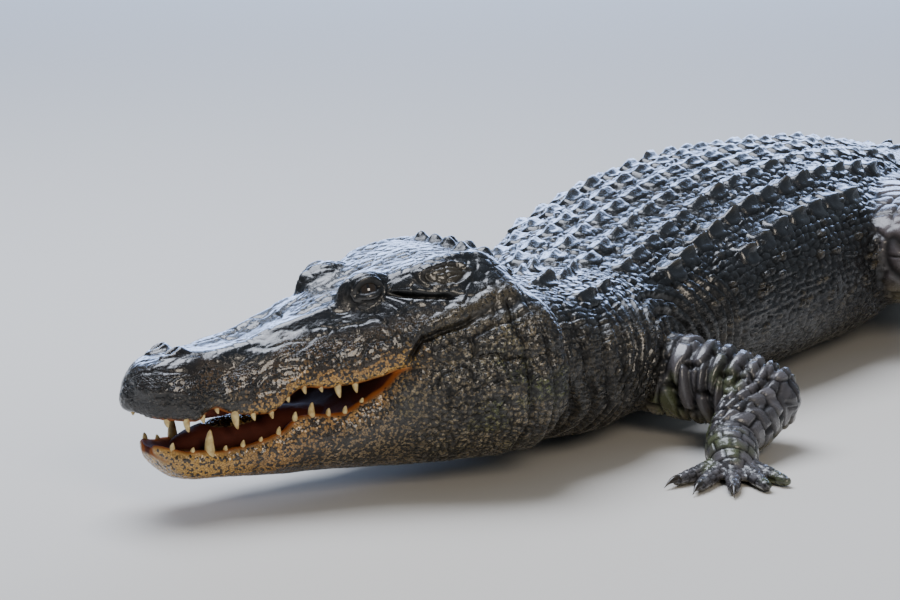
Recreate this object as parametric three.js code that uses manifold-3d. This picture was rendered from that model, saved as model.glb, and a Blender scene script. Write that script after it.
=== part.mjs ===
// American alligator, a large male lying still with its mouth slightly open. Millimetres, +Z up.
// The head points to -X and turns to the animal's right, the tail trails to +X, and the left side is -Y.
// The origin is on the floor under the middle of the belly.
import * as THREE from 'three';
import { ConvexGeometry } from 'three/addons/geometries/ConvexGeometry.js';
import { ParametricGeometry } from 'three/addons/geometries/ParametricGeometry.js';
import { mergeVertices } from 'three/addons/utils/BufferGeometryUtils.js';
import Module from 'manifold-3d';

const wasm = await Module();
wasm.setup();

// Driving sizes
const jointGap = 0.3; // between pieces that touch
const bodySides = 19; // facets round the trunk and tail
const headJoint = 385; // from the snout tip back to the point that places the head
const headPlace = new THREE.Vector3(-783, -29, 149);
const headTurn = THREE.MathUtils.degToRad(26);
const headPitch = THREE.MathUtils.degToRad(3);
const headRoll = THREE.MathUtils.degToRad(3);
const eyeRadius = 17;
const eyePlace = { a: 306, l: 59, u: 115 };

// Spine from inside the back of the head to the tail tip, as seen from above
const spinePlan = [
  [-770, -35], [-707, -66], [-640, -88], [-560, -88], [-470, -62], [-370, -34], [-200, -8], [0, 0],
  [200, 0], [400, 5], [600, 5], [790, -5], [980, -40], [1170, -120], [1350, -240], [1520, -380],
  [1690, -510], [1880, -600], [2080, -640], [2230, -645],
];
const spineBefore = 70; // length of spine ahead of the back of the skull table

// Stations behind the skull table: distance, half width, top, bottom, height of the widest place
const bodyRows = [
  [-70, 112, 232, 70, 165], [0, 126, 250, 45, 150], [90, 138, 236, 26, 140], [180, 150, 224, 12, 128],
  [285, 162, 218, 2, 120], [400, 190, 229, -4, 116], [550, 222, 248, -5, 116], [700, 237, 270, -5, 118],
  [850, 236, 277, -5, 118], [1000, 208, 270, -5, 114], [1105, 172, 258, -4, 110], [1245, 138, 228, -3, 98],
  [1400, 112, 200, -3, 90], [1600, 88, 166, -3, 78], [1900, 60, 126, -3, 62], [2200, 43, 98, -3, 50],
  [2500, 29, 72, -3, 37], [2800, 17, 46, -2, 24], [2960, 10, 29, -2, 15], [3040, 5, 16, -1, 8],
];
const bodyFullness = 2.25; // 2 is an ellipse, more is squarer

// Lengths that the body is parted into, by station
const bodyParts = [
  { name: 'neck', from: -66, to: 285, rings: 7, colour: 0x2b2f34 },
  { name: 'torso', from: 285, to: 1245, rings: 15, colour: 0x2a2e33 },
  { name: 'tail_base', from: 1245, to: 1640, rings: 7, colour: 0x292d32 },
  { name: 'tail_middle', from: 1640, to: 2080, rings: 7, colour: 0x282c31 },
  { name: 'tail_rear', from: 2080, to: 2560, rings: 7, colour: 0x272b30 },
  { name: 'tail_tip', from: 2560, to: 3040, rings: 6, colour: 0x262a2f },
];

// Upper head, by distance back from the snout tip:
// top, shoulder half width and height, cheek half width and height, lip half width and height, palate
const headRows = [
  [-8, 38, 12, 34, 19, 22, 18, 8, 12], [0, 54, 21, 48, 33, 29, 31, 3, 10], [12, 66, 30, 59, 47, 34, 47, 0, 9],
  [30, 72, 38, 65, 57, 36, 58, -2, 8],
  [55, 76, 42, 67, 63, 38, 66, -6, 8], [82, 75, 42, 65, 56, 38, 61, 4, 12],
  [110, 76, 44, 66, 60, 36, 65, -8, 9], [150, 79, 48, 68, 70, 36, 76, -11, 8],
  [195, 89, 52, 76, 78, 43, 84, 14, 22], [240, 103, 56, 89, 84, 48, 90, 8, 20],
  [285, 120, 60, 106, 95, 58, 100, 11, 20], [325, 132, 68, 122, 110, 72, 115, 22, 22.5],
  [360, 140, 78, 136, 120, 84, 131, 25, 25], [410, 148, 82, 143, 130, 88, 148, 25, 25],
  [455, 148, 82, 141, 140, 86, 162, 22, 22], [480, 140, 79, 131, 143, 82, 167, 20, 20],
  [510, 108, 72, 96, 140, 70, 164, 18, 18], [540, 86, 60, 74, 118, 56, 140, 16, 16],
  [560, 54, 38, 46, 70, 36, 84, 14, 14],
];
// Lower jaw, the same way: mouth floor, lip half width and height, side half width and height, keel
const jawRows = [
  [14, -36, 19, -31, 18, -40, -52], [24, -44, 38, -35, 37, -50, -68], [45, -51, 54, -43, 53, -61, -84],
  [72, -57, 58, -46, 58, -66, -90], [94, -60, 57, -50, 57, -70, -93], [133, -58, 66, -46, 66, -70, -97],
  [167, -50, 76, -36, 76, -64, -100], [194, -36, 80, -20, 82, -56, -103], [243, -34, 86, -26, 90, -60, -107],
  [275, -24, 93, -14, 98, -52, -110], [300, -8, 100, -2, 106, -40, -112],
  [325, 22.2, 115, 21.7, 118, -30, -114], [360, 24.7, 131, 24.7, 136, -22, -117],
  [410, 24.7, 148, 24.7, 152, -22, -120], [455, 21.7, 162, 21.7, 164, -26, -122],
  [490, 19, 167, 19, 170, -28, -122], [520, 17.2, 160, 17.2, 162, -28, -118],
  [545, 15.4, 132, 15.4, 134, -26, -104],
  [562, 13.6, 80, 13.6, 80, -22, -70],
];

// Legs: shoulder or hip, elbow or knee, wrist or ankle, and the way the toes point
const legs = [
  {
    side: 'left', pair: 'fore', joints: [[-425, -120, 98], [-400, -340, 68], [-506, -352, 36]],
    toes: [-0.86, -0.5],
  },
  {
    side: 'right', pair: 'fore', joints: [[-425, 120, 98], [-372, 322, 70], [-474, 362, 36]],
    toes: [-0.92, 0.4],
  },
  {
    side: 'left', pair: 'hind', joints: [[405, -80, 124], [198, -238, 148], [410, -345, 50]],
    toes: [-0.8, -0.6],
  },
  {
    side: 'right', pair: 'hind', joints: [[430, 80, 122], [270, 250, 118], [478, 322, 50]],
    toes: [-0.8, 0.6],
  },
];
// Thickness of a leg at its root, its middle joint and its last joint
const legSizes = {
  fore: { upper: [62, 56, 50], lower: [44, 42, 33], toes: [62, 78, 82, 74, 56], palm: 42, clawed: 3 },
  hind: { upper: [94, 92, 72], lower: [62, 55, 40], toes: [100, 128, 134, 112], palm: 56, clawed: 3 },
};
// How a foot is built: spread of the toes, the web's reach along them, and the claws
const footSizes = {
  fore: { spread: 1.5, web: 0.3, claw: 24 },
  hind: { spread: 0.95, web: 0.66, claw: 30 },
};

// Scutes of the neck, back and tail: rows down the body, and how many a side or how far from the middle
const nuchalGroups = [
  { from: 118, pitch: 56, sides: [[30, 84], [29, 80], [26]], width: 46, rise: 17 },
];
// Small knobs across the back of the skull: rows from the front, and how far from the middle
const skullKnobs = { from: 450, pitch: 27, rows: [[16, 50], [22, 60], [34, 66]], radius: 9, rise: 11 };
const backScutes = {
  from: 322, pitch: 55, aSide: [2, 3, 3, 3, 4, 4, 4, 4, 4, 4, 4, 3, 3, 3, 2, 2, 2], width: 51,
  rises: [8, 9, 13, 10],
};
const tailScutes = {
  start: 1245, end: 2980, pitch: 58, endPitch: 38, joinAt: 2080, crest: 21, singleCrest: 44, rootWidth: 18,
};

// Teeth: spacing along the lip, plain length, and the places where they stand longer
const toothPitch = 22;
const upperTeeth = { from: 22, to: 285, length: 7, long: [[42, 12, 8], [116, 12, 13], [253, 18, 9]] };
const lowerTeeth = { from: 31, to: 282, length: 6, long: [[76, 12, 19], [205, 26, 8]] };

// Smooth curve through each column of a table, without overshoot
function tableCurve(rows) {
  const slopes = [];
  for (let column = 1; column < rows[0].length; column++) {
    const steps = rows.slice(1).map((row, i) => (row[column] - rows[i][column]) / (row[0] - rows[i][0]));
    slopes[column] = rows.map((row, i) => {
      if (i === 0 || i === rows.length - 1) return steps[Math.min(i, steps.length - 1)];
      const product = steps[i - 1] * steps[i];
      return product <= 0 ? 0 : (2 * product) / (steps[i - 1] + steps[i]);
    });
  }
  return (at) => {
    let i = rows.findIndex((row) => row[0] > at) - 1;
    if (i < 0) i = at < rows[0][0] ? 0 : rows.length - 2;
    const span = rows[i + 1][0] - rows[i][0];
    const t = THREE.MathUtils.clamp((at - rows[i][0]) / span, 0, 1);
    return rows[i].map((start, column) => {
      if (column === 0) return at;
      const end = rows[i + 1][column];
      const rise = t * t * (3 - 2 * t);
      const lead = slopes[column][i] * t * (1 - t) * (1 - t);
      const tail = slopes[column][i + 1] * t * t * (t - 1);
      return start + (end - start) * rise + span * (lead + tail);
    });
  };
}

// A closed geometry as a solid, with its faces turned outward
function solidOf(geometry) {
  const bare = new THREE.BufferGeometry();
  bare.setAttribute('position', geometry.getAttribute('position'));
  if (geometry.index) bare.setIndex(geometry.index);
  const merged = mergeVertices(bare, 1e-4);
  const points = merged.getAttribute('position').array;
  const index = merged.index.array;
  const faces = [];
  for (let i = 0; i < index.length; i += 3) {
    const [a, b, c] = [index[i], index[i + 1], index[i + 2]];
    if (a !== b && b !== c && c !== a) faces.push(a, b, c);
  }
  let volume = 0;
  const corner = (i) => new THREE.Vector3().fromArray(points, 3 * i);
  for (let i = 0; i < faces.length; i += 3) {
    volume += corner(faces[i]).dot(corner(faces[i + 1]).cross(corner(faces[i + 2])));
  }
  if (volume < 0) faces.reverse();
  return new wasm.Manifold(
    new wasm.Mesh({ numProp: 3, vertProperties: points, triVerts: new Uint32Array(faces) }),
  );
}

// Solid through a row of closed sections, each a function of the way round from 0 to 1, with flat ends
function loft(sections, sides) {
  const middle = (section) => {
    const sum = new THREE.Vector3();
    for (let i = 0; i < sides; i++) sum.add(section(i / sides));
    return sum.divideScalar(sides);
  };
  const first = middle(sections[0]);
  const last = middle(sections.at(-1));
  const stack = [() => first, ...sections, () => last];
  const point = (round, along, target) => {
    const section = stack[Math.round(along * (stack.length - 1))];
    target.copy(section(Math.round(round * sides) % sides / sides));
  };
  return solidOf(new ParametricGeometry(point, sides, stack.length - 1));
}

function spread(from, to, count) {
  const share = (i) => (count > 1 ? i / (count - 1) : 0);
  return Array.from({ length: count }, (_, i) => THREE.MathUtils.lerp(from, to, share(i)));
}

const largest = (solid) => solid.decompose().sort((a, b) => b.volume() - a.volume())[0];
const join = (solids) => solids.reduce((whole, piece) => whole.add(piece));

// Keeps what is over the floor, which leaves a flat where a form presses on it
const roomAboveFloor = solidOf(new THREE.BoxGeometry(6000, 4000, 2000).translate(0, 0, 1000));
const aboveFloor = (solid) => solid.intersect(roomAboveFloor);

// Body
const spine = new THREE.CatmullRomCurve3(
  spinePlan.map(([x, y]) => new THREE.Vector3(x, y, 0)), false, 'centripetal',
);
spine.arcLengthDivisions = 600;
const spineLength = spine.getLength();
const bodyAt = tableCurve(bodyRows);
const up = new THREE.Vector3(0, 0, 1);

// Place on the skin at a station, with the angle from the top towards the left side
function bodyPoint(station, angle, grow = 0) {
  const [, halfWidth, top, bottom, widest] = bodyAt(station);
  const along = THREE.MathUtils.clamp((station + spineBefore) / spineLength, 0, 1);
  const left = spine.getTangentAt(along).cross(up);
  const power = 2 / bodyFullness;
  const across = Math.sign(Math.sin(angle)) * Math.abs(Math.sin(angle)) ** power * (halfWidth + grow);
  const rise = Math.abs(Math.cos(angle)) ** power;
  const over = rise * (top + grow - widest);
  const under = rise * (widest - bottom + grow);
  const height = Math.cos(angle) > 0 ? widest + over : widest - under;
  return spine.getPointAt(along).addScaledVector(left, across).setZ(height);
}

function bodyLength(stations, grow = 0) {
  const sections = stations.map((station) => (round) => bodyPoint(station, 2 * Math.PI * round, grow));
  return loft(sections, bodySides);
}

// Head, in its own measures: back from the snout tip, to its left, and up from the jaw line
const forward = new THREE.Vector3(-Math.cos(headTurn), Math.sin(headTurn), 0);
const levelLeft = up.clone().cross(forward);
const nose = forward.clone().multiplyScalar(Math.cos(headPitch)).addScaledVector(up, -Math.sin(headPitch));
const crown = up.clone().multiplyScalar(Math.cos(headPitch)).addScaledVector(forward, Math.sin(headPitch));
const headLeft = levelLeft.multiplyScalar(Math.cos(headRoll)).addScaledVector(crown, Math.sin(headRoll));
const headUp = headLeft.clone().cross(nose).negate().normalize();

function headPoint(back, left, height) {
  return headPlace.clone().addScaledVector(nose, headJoint - back)
    .addScaledVector(headLeft, left).addScaledVector(headUp, height);
}

// Closed section from its right half, mirrored; the half runs from the middle below to the middle above
function mirroredSection(back, half, grow) {
  const corners = half.map(([left, height]) => new THREE.Vector3(left, height, 0));
  const rounded = new THREE.CatmullRomCurve3(corners, false, 'centripetal');
  const centre = (half[0][1] + half.at(-1)[1]) / 2;
  return (round) => {
    const side = round > 0.5 ? -1 : 1;
    const spot = rounded.getPoint(1 - Math.abs(1 - 2 * round));
    const outward = new THREE.Vector3(spot.x, spot.y - centre, 0).setLength(grow);
    return headPoint(back, side * (spot.x + outward.x), spot.y + outward.y);
  };
}

// A section's place along a form that is grown at both ends too
function reached(place, i, stations, grow) {
  if (i === 0) return place - grow;
  return i === stations.length - 1 ? place + grow : place;
}

const headAt = tableCurve(headRows);
const jawAt = tableCurve(jawRows);
const headStations = headRows.map(([back]) => back);
const jawStations = jawRows.map(([back]) => back);

function upperHead(grow = 0) {
  const sections = headStations.map((back, i) => {
    const [, top, shoulder, shoulderUp, cheek, cheekUp, lip, lipUp, palate] = headAt(back);
    return mirroredSection(reached(back, i, headStations, grow), [
      [0, palate], [lip * 0.55, palate], [lip - 7, lipUp], [lip, lipUp + 9], [cheek, cheekUp],
      [(cheek + shoulder) / 2, (cheekUp + shoulderUp) / 2 + 4], [shoulder, shoulderUp],
      [shoulder / 2, top - 2], [0, top],
    ], grow);
  });
  return loft(sections, 18);
}

function lowerJaw(grow = 0) {
  const sections = jawStations.map((back, i) => {
    const [, floor, lip, lipUp, side, sideUp, keel] = jawAt(back);
    return mirroredSection(reached(back, i, jawStations, grow), [
      [0, keel], [side * 0.5, keel + 4], [side * 0.88, (keel + sideUp) / 2], [side, sideUp],
      [lip, lipUp - 10], [lip - 7, lipUp], [lip * 0.55, floor], [0, floor],
    ], grow);
  });
  return loft(sections, 18);
}

function headBall(back, left, height, radii, segments = 12) {
  const ball = new THREE.SphereGeometry(1, segments, Math.round(segments * 0.66)).scale(...radii);
  const place = new THREE.Matrix4().makeBasis(nose.clone().negate(), headLeft.clone().negate(), headUp);
  place.setPosition(headPoint(back, left, height));
  return solidOf(ball.applyMatrix4(place));
}

const eyeBall = (side, grow = 0) => {
  const radius = eyeRadius + grow;
  return headBall(eyePlace.a, side * eyePlace.l, eyePlace.u, [radius, radius, radius], 12);
};

// Lids as a thick ring that follows the eyeball, longer than it is high
function lids(side) {
  const ring = new THREE.TorusGeometry(eyeRadius, 5, 5, 12).scale(1.3, 1, 1);
  ring.rotateX((side * Math.PI) / 2 + side * 0.45).rotateZ(side * 0.22);
  const place = new THREE.Matrix4().makeBasis(nose.clone().negate(), headLeft.clone().negate(), headUp);
  place.setPosition(headPoint(eyePlace.a + 2, side * (eyePlace.l + 6), eyePlace.u + 2));
  return solidOf(ring.applyMatrix4(place));
}

// Teeth along a lip, pointing down from the upper jaw or up from the lower one
function teeth(sizes, lipAt, points) {
  const count = Math.floor((sizes.to - sizes.from) / toothPitch);
  const all = [];
  for (let i = 0; i <= count; i++) {
    const back = sizes.from + i * toothPitch;
    const [lip, lipUp] = lipAt(back);
    const extra = sizes.long.map(([at, width, more]) => more * Math.exp(-(((back - at) / width) ** 2)));
    const length = sizes.length + extra.reduce((sum, more) => sum + more) + (i % 2 ? -1.5 : 1);
    const radius = 2.4 + length * 0.19;
    for (const side of [-1, 1]) {
      const root = spread(0, 2 * Math.PI, 6).slice(1).map((angle) => headPoint(
        back + radius * Math.cos(angle), side * (lip - 8 + radius * Math.sin(angle)), lipUp - points * 4,
      ));
      const tip = headPoint(back, side * (lip - 6), lipUp + points * length);
      all.push(solidOf(new ConvexGeometry([...root, tip])));
    }
  }
  return join(all);
}

// Low cones on top of the skull that lean back
function skullKnob(back, left) {
  const [, top, shoulder, shoulderUp] = headAt(back);
  const height = THREE.MathUtils.lerp(top, shoulderUp, Math.min(Math.abs(left) / shoulder, 1));
  const { radius, rise } = skullKnobs;
  const ring = spread(0, 2 * Math.PI, 6).slice(1).map((angle) => headPoint(
    back + radius * Math.cos(angle), left + radius * Math.sin(angle), height - 5,
  ));
  return solidOf(new ConvexGeometry([...ring, headPoint(back + 4, left, height + rise * 0.8)]));
}

function finishedHead() {
  const lipAt = (back) => [headAt(back)[6], headAt(back)[7]];
  let head = upperHead().add(teeth(upperTeeth, lipAt, -1));
  for (const side of [-1, 1]) {
    const brow = headBall(312, side * 50, 106, [44, 27, 34], 10);
    const nostril = headBall(56, side * 21, 66, [20, 13, 15], 8);
    const earFlap = headBall(400, side * 85, 126, [38, 7, 15], 8);
    head = join([head, brow, nostril, earFlap, lids(side)]);
    for (const [i, row] of skullKnobs.rows.entries()) {
      const back = skullKnobs.from + i * skullKnobs.pitch;
      head = join([head, ...row.map((left) => skullKnob(back, side * left))]);
    }
    head = head.subtract(headBall(48, side * 20, 83, [7, 5, 9], 6));
    head = head.subtract(headBall(378, side * 96, 110, [30, 12, 4], 6));
    head = head.subtract(eyeBall(side, jointGap));
  }
  return head;
}

function finishedJaw() {
  const lipAt = (back) => [jawAt(back)[2], jawAt(back)[3]];
  const jaw = lowerJaw().add(teeth(lowerTeeth, lipAt, 1));
  return jaw.subtract(upperHead(jointGap));
}

// Scutes
// A plate with a keel that climbs towards the tail, its root sunk in the skin
function scute(station, across, length, width, rise) {
  const side = Math.sign(across) || 1;
  const angle = side * Math.asin(Math.min(Math.abs(across) / bodyAt(station)[1], 1) ** (bodyFullness / 2));
  const centre = bodyPoint(station, angle);
  const along = bodyPoint(station + 4, angle).sub(bodyPoint(station - 4, angle)).normalize();
  const round = bodyPoint(station, angle + 0.02).sub(bodyPoint(station, angle - 0.02)).normalize();
  const outward = round.clone().cross(along).normalize();
  const spot = (x, y, z) => centre.clone().addScaledVector(along, x * length)
    .addScaledVector(round, y * width).addScaledVector(outward, z);
  const corners = [[-0.5, -0.42], [-0.5, 0.42], [0.5, -0.5], [0.5, 0.5]];
  const sink = 4 + width * 0.14;
  const edge = Math.min(2.5, rise * 0.25);
  return solidOf(new ConvexGeometry([
    ...corners.map(([x, y]) => spot(x * 0.9, y * 0.9, -sink)),
    ...corners.map(([x, y]) => spot(x, y, edge)),
    spot(-0.34, 0, rise * 0.55), spot(0.46, 0, rise),
  ]));
}

function vary(seed, amount) {
  return 1 + amount * Math.sin(seed * 12.9898);
}

function neckScutes() {
  const plates = nuchalGroups.flatMap(({ from, pitch, sides, width, rise }) => sides.flatMap(
    (row, i) => row.map((across, k) => {
      const size = vary(i * 7 + k * 3 + from, 0.08) * (k === 0 ? 1 : 0.8);
      return { station: from + i * pitch + k * 8, across, width: width * size, rise: rise * size };
    }),
  ));
  return plates.flatMap(({ station, across, width, rise }) => [-1, 1].map(
    (side) => scute(station, side * across, width, width * 0.9, rise),
  ));
}

function torsoScutes() {
  const { from, pitch, aSide, width, rises } = backScutes;
  return aSide.flatMap((count, row) => spread(0, count - 1, count).flatMap((k) => [-1, 1].map((side) => {
    const station = from + row * pitch;
    const size = vary(row * 5.3 + k * 2.1 + side, 0.06);
    return scute(station, side * (k + 0.5) * width * 0.98, pitch * 0.9, width * 0.9, rises[k] * size);
  })));
}

// Two crests on the front of the tail that lean together into a single one
function tailCrests(from, to) {
  const { start, end, pitch, endPitch, joinAt, crest, singleCrest, rootWidth } = tailScutes;
  const along = (station) => (station - start) / (end - start);
  const count = Math.round((to - from) / THREE.MathUtils.lerp(pitch, endPitch, along((from + to) / 2)));
  const step = (Math.min(to, end) - from) / count;
  return spread(0, count - 1, count).flatMap((i) => {
    const station = from + (i + 0.5) * step;
    const halfWidth = bodyAt(station)[1];
    if (station > joinAt) {
      const size = 0.45 + (0.55 * (end - station)) / (end - joinAt);
      return [scute(station, 0, step * 0.95, rootWidth * size, singleCrest * size)];
    }
    const apart = (joinAt - station) / (joinAt - start);
    const rise = crest + (1 - apart) * 14;
    return [-1, 1].flatMap((side) => {
      const blade = scute(station, side * halfWidth * (0.24 + 0.4 * apart), step * 0.94, rootWidth, rise);
      const plate = scute(station, side * halfWidth * 0.2, step * 0.86, halfWidth * 0.32, 8);
      return apart > 0.5 ? [blade, plate] : [blade];
    });
  });
}

// Legs
// A round length of leg between two joints, with rounded ends
function limb(start, end, radii, { grow = 0, sides = 10, steps = 4 } = {}) {
  const origin = new THREE.Vector3(...start);
  const axis = new THREE.Vector3(...end).sub(origin);
  const length = axis.length();
  axis.normalize();
  const across = axis.clone().cross(up).normalize();
  const over = across.clone().cross(axis).normalize();
  const [first, middle, last] = radii;
  const swell = new THREE.QuadraticBezierCurve(
    new THREE.Vector2(0, first),
    new THREE.Vector2(0.5, 2 * middle - (first + last) / 2),
    new THREE.Vector2(1, last),
  );
  const ends = steps > 2 ? [[0.85, 0.5], [0.5, 0.86]] : [[0.7, 0.6]];
  const rings = [
    ...ends.map(([out, size]) => [-out * first, size * first]),
    ...spread(0, 1, steps).map((t) => [t * length, swell.getPoint(t).y]),
    ...ends.toReversed().map(([out, size]) => [length + out * last, size * last]),
  ];
  const sections = rings.map(([distance, radius], i) => (round) => {
    const angle = 2 * Math.PI * round;
    return origin.clone().addScaledVector(axis, reached(distance, i, rings, grow))
      .addScaledVector(across, Math.cos(angle) * (radius + grow))
      .addScaledVector(over, Math.sin(angle) * (radius + grow));
  });
  return loft(sections, sides);
}

// Foot: a flat palm and spread toes that lie on the floor, webbed near the root, the inner ones with claws
function foot(leg, size) {
  const { spread: fan, web, claw } = footSizes[leg.pair];
  const ankle = new THREE.Vector3(...leg.joints[2]);
  const ahead = new THREE.Vector3(...leg.toes, 0).normalize();
  const outer = ahead.clone().cross(up).multiplyScalar(leg.side === 'left' ? -1 : 1);
  const palmEnd = ankle.clone().addScaledVector(ahead, size.palm * 1.45).setZ(13);
  const scaled = (shares) => shares.map((share) => share * size.palm);
  const palm = limb(ankle.toArray(), palmEnd.toArray(), scaled([0.68, 0.82, 0.6]), { sides: 8 });
  const toes = size.toes.map((length, i) => {
    const place = i / (size.toes.length - 1) - 0.5;
    const way = ahead.clone().multiplyScalar(Math.cos(place * fan))
      .addScaledVector(outer, Math.sin(place * fan));
    const root = palmEnd.clone().addScaledVector(outer, place * size.palm * 1.35).setZ(13);
    return { way, root, tip: root.clone().addScaledVector(way, length).setZ(8), clawed: i < size.clawed };
  });
  const pieces = [palm];
  toes.forEach(({ way, root, tip, clawed }, i) => {
    const heel = root.clone().addScaledVector(way, -size.palm * 0.3);
    pieces.push(limb(heel.toArray(), tip.toArray(), scaled([0.27, 0.25, 0.17]), { sides: 6, steps: 2 }));
    if (clawed) {
      const across = way.clone().cross(up);
      const ring = spread(0, 2 * Math.PI, 6).slice(1).map((angle) => tip.clone().addScaledVector(way, -4)
        .addScaledVector(across, 5 * Math.cos(angle)).addScaledVector(up, 5.5 * Math.sin(angle) + 2));
      const bend = tip.clone().addScaledVector(way, claw * 0.55).setZ(11);
      const point = tip.clone().addScaledVector(way, claw).setZ(1.5);
      pieces.push(solidOf(new ConvexGeometry([...ring, bend, point])));
    }
    if (i === 0) return;
    const last = toes[i - 1];
    const reach = (toe, share) => toe.root.clone().lerp(toe.tip, share);
    const sheet = [reach(last, 0), reach(last, web), reach(toes[i], 0), reach(toes[i], web)];
    const faces = [6, 0.5].flatMap((height) => sheet.map((spot) => spot.clone().setZ(height)));
    pieces.push(solidOf(new ConvexGeometry(faces)));
  });
  return join(pieces);
}

// Pieces
const alligator = new THREE.Group();

function clearOfLegs(solid) {
  return legs.reduce((rest, { pair, joints }) => rest.subtract(
    limb(joints[0], joints[1], legSizes[pair].upper, { grow: jointGap }),
  ), solid);
}

function addPiece(name, solid, colour, roughness) {
  const mesh = largest(solid).getMesh();
  const geometry = new THREE.BufferGeometry();
  geometry.setAttribute('position', new THREE.BufferAttribute(mesh.vertProperties, 3));
  geometry.setIndex(new THREE.BufferAttribute(mesh.triVerts, 1));
  geometry.computeVertexNormals();
  const material = new THREE.MeshStandardMaterial({ color: colour, roughness, metalness: 0 });
  const piece = new THREE.Mesh(geometry, material);
  piece.name = name;
  alligator.add(piece);
}

addPiece('head', finishedHead(), 0x33312f, 0.35);
addPiece('lower_jaw', finishedJaw(), 0x8a6a45, 0.4);
for (const [name, side] of [['eye_left', 1], ['eye_right', -1]]) {
  addPiece(name, eyeBall(side), 0x17130d, 0.08);
}

for (const { name, from, to, rings, colour } of bodyParts) {
  let length = bodyLength(spread(from + jointGap / 2, to - jointGap / 2, rings));
  if (name === 'neck') {
    length = join([length, ...neckScutes()]).subtract(upperHead(jointGap)).subtract(lowerJaw(jointGap));
  } else if (name === 'torso') {
    length = length.add(clearOfLegs(join(torsoScutes())));
  } else {
    length = join([length, ...tailCrests(from, to)]);
  }
  addPiece(name, aboveFloor(length), colour, 0.3);
}

const bodyStations = bodyParts.flatMap(({ from, to, rings }) => spread(from, to, rings).slice(1));
const wholeBody = bodyLength(bodyStations, jointGap);
for (const leg of legs) {
  const size = legSizes[leg.pair];
  const [root, middle, last] = leg.joints;
  const name = `${leg.pair}_${leg.side}`;
  const clearance = { grow: jointGap };
  const upper = limb(root, middle, size.upper).subtract(wholeBody);
  const lower = limb(middle, last, size.lower).subtract(limb(root, middle, size.upper, clearance));
  const toes = foot(leg, size).subtract(limb(middle, last, size.lower, clearance));
  addPiece(`${name}_upper`, aboveFloor(upper), 0x4a4848, 0.35);
  addPiece(`${name}_lower`, aboveFloor(lower.subtract(wholeBody)), 0x454342, 0.35);
  addPiece(`${name}_foot`, aboveFloor(toes.subtract(wholeBody)), 0x3f3d3b, 0.35);
}

export default alligator;
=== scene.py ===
import math
import bpy
import numpy as np
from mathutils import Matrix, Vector


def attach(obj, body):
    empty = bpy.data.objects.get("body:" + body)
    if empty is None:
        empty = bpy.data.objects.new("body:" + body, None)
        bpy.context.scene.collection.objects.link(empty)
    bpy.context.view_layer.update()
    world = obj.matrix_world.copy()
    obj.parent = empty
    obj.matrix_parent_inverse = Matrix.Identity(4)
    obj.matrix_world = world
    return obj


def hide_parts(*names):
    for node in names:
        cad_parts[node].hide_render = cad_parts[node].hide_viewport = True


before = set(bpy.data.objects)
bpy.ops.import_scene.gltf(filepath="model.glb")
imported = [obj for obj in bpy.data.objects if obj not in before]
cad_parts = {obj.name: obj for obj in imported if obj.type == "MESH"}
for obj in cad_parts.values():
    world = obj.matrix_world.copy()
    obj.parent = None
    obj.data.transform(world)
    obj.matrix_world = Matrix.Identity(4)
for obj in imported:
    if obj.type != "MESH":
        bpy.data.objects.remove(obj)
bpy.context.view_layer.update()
print("frame loaded:", len(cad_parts), "nodes")


# Numbers and curves
# Rows of [place, value, ...] as a smooth curve without overshoot
def tableCurve(rows):
    rows = np.array(rows, float)
    at, values = rows[:, 0], rows[:, 1:]
    steps = np.diff(values, axis=0) / np.diff(at)[:, None]
    slopes = np.zeros_like(values)
    slopes[0], slopes[-1] = steps[0], steps[-1]
    product = steps[:-1] * steps[1:]
    total = np.where(product > 0, steps[:-1] + steps[1:], 1)
    slopes[1:-1] = np.where(product > 0, 2 * product / total, 0)

    def value(place):
        place = np.asarray(place, float)
        i = np.clip(np.searchsorted(at, place, side="right") - 1, 0, len(at) - 2)
        span = (at[i + 1] - at[i])[..., None]
        t = np.clip((place - at[i])[..., None] / span, 0, 1)
        rise = t * t * (3 - 2 * t)
        lead = slopes[i] * t * (1 - t) ** 2
        tail = slopes[i + 1] * t * t * (t - 1)
        return values[i] + (values[i + 1] - values[i]) * rise + span * (lead + tail)
    return value


# Centripetal curve through points (..., n, d) at the fractions t
def smoothCurve(points, t):
    points = np.asarray(points, float)
    first = 2 * points[..., :1, :] - points[..., 1:2, :]
    last = 2 * points[..., -1:, :] - points[..., -2:-1, :]
    padded = np.concatenate([first, points, last], axis=-2)
    spans = points.shape[-2] - 1
    where = np.clip(np.asarray(t, float) * spans, 0, spans - 1e-9)
    i = where.astype(int)
    w = (where - i)[:, None]
    p0, p1, p2, p3 = (padded[..., i + k, :] for k in range(4))
    d0, d1, d2 = (np.maximum(np.sum((b - a) ** 2, -1, keepdims=True) ** 0.25, 1e-4)
                  for a, b in ((p0, p1), (p1, p2), (p2, p3)))
    m1 = ((p1 - p0) / d0 - (p2 - p0) / (d0 + d1) + (p2 - p1) / d1) * d1
    m2 = ((p2 - p1) / d1 - (p3 - p1) / (d1 + d2) + (p3 - p2) / d2) * d1
    c2 = -3 * p1 + 3 * p2 - 2 * m1 - m2
    c3 = 2 * p1 - 2 * p2 + m1 + m2
    return p1 + m1 * w + c2 * w ** 2 + c3 * w ** 3


def step(low, high, value):
    t = np.clip((value - low) / (high - low), 0, 1)
    return t * t * (3 - 2 * t)


def bell(value, centre, width):
    return np.exp(-((value - centre) / width) ** 2)


def unit(v):
    v = np.asarray(v, float)
    return v / np.maximum(np.linalg.norm(v, axis=-1, keepdims=True), 1e-9)


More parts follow.
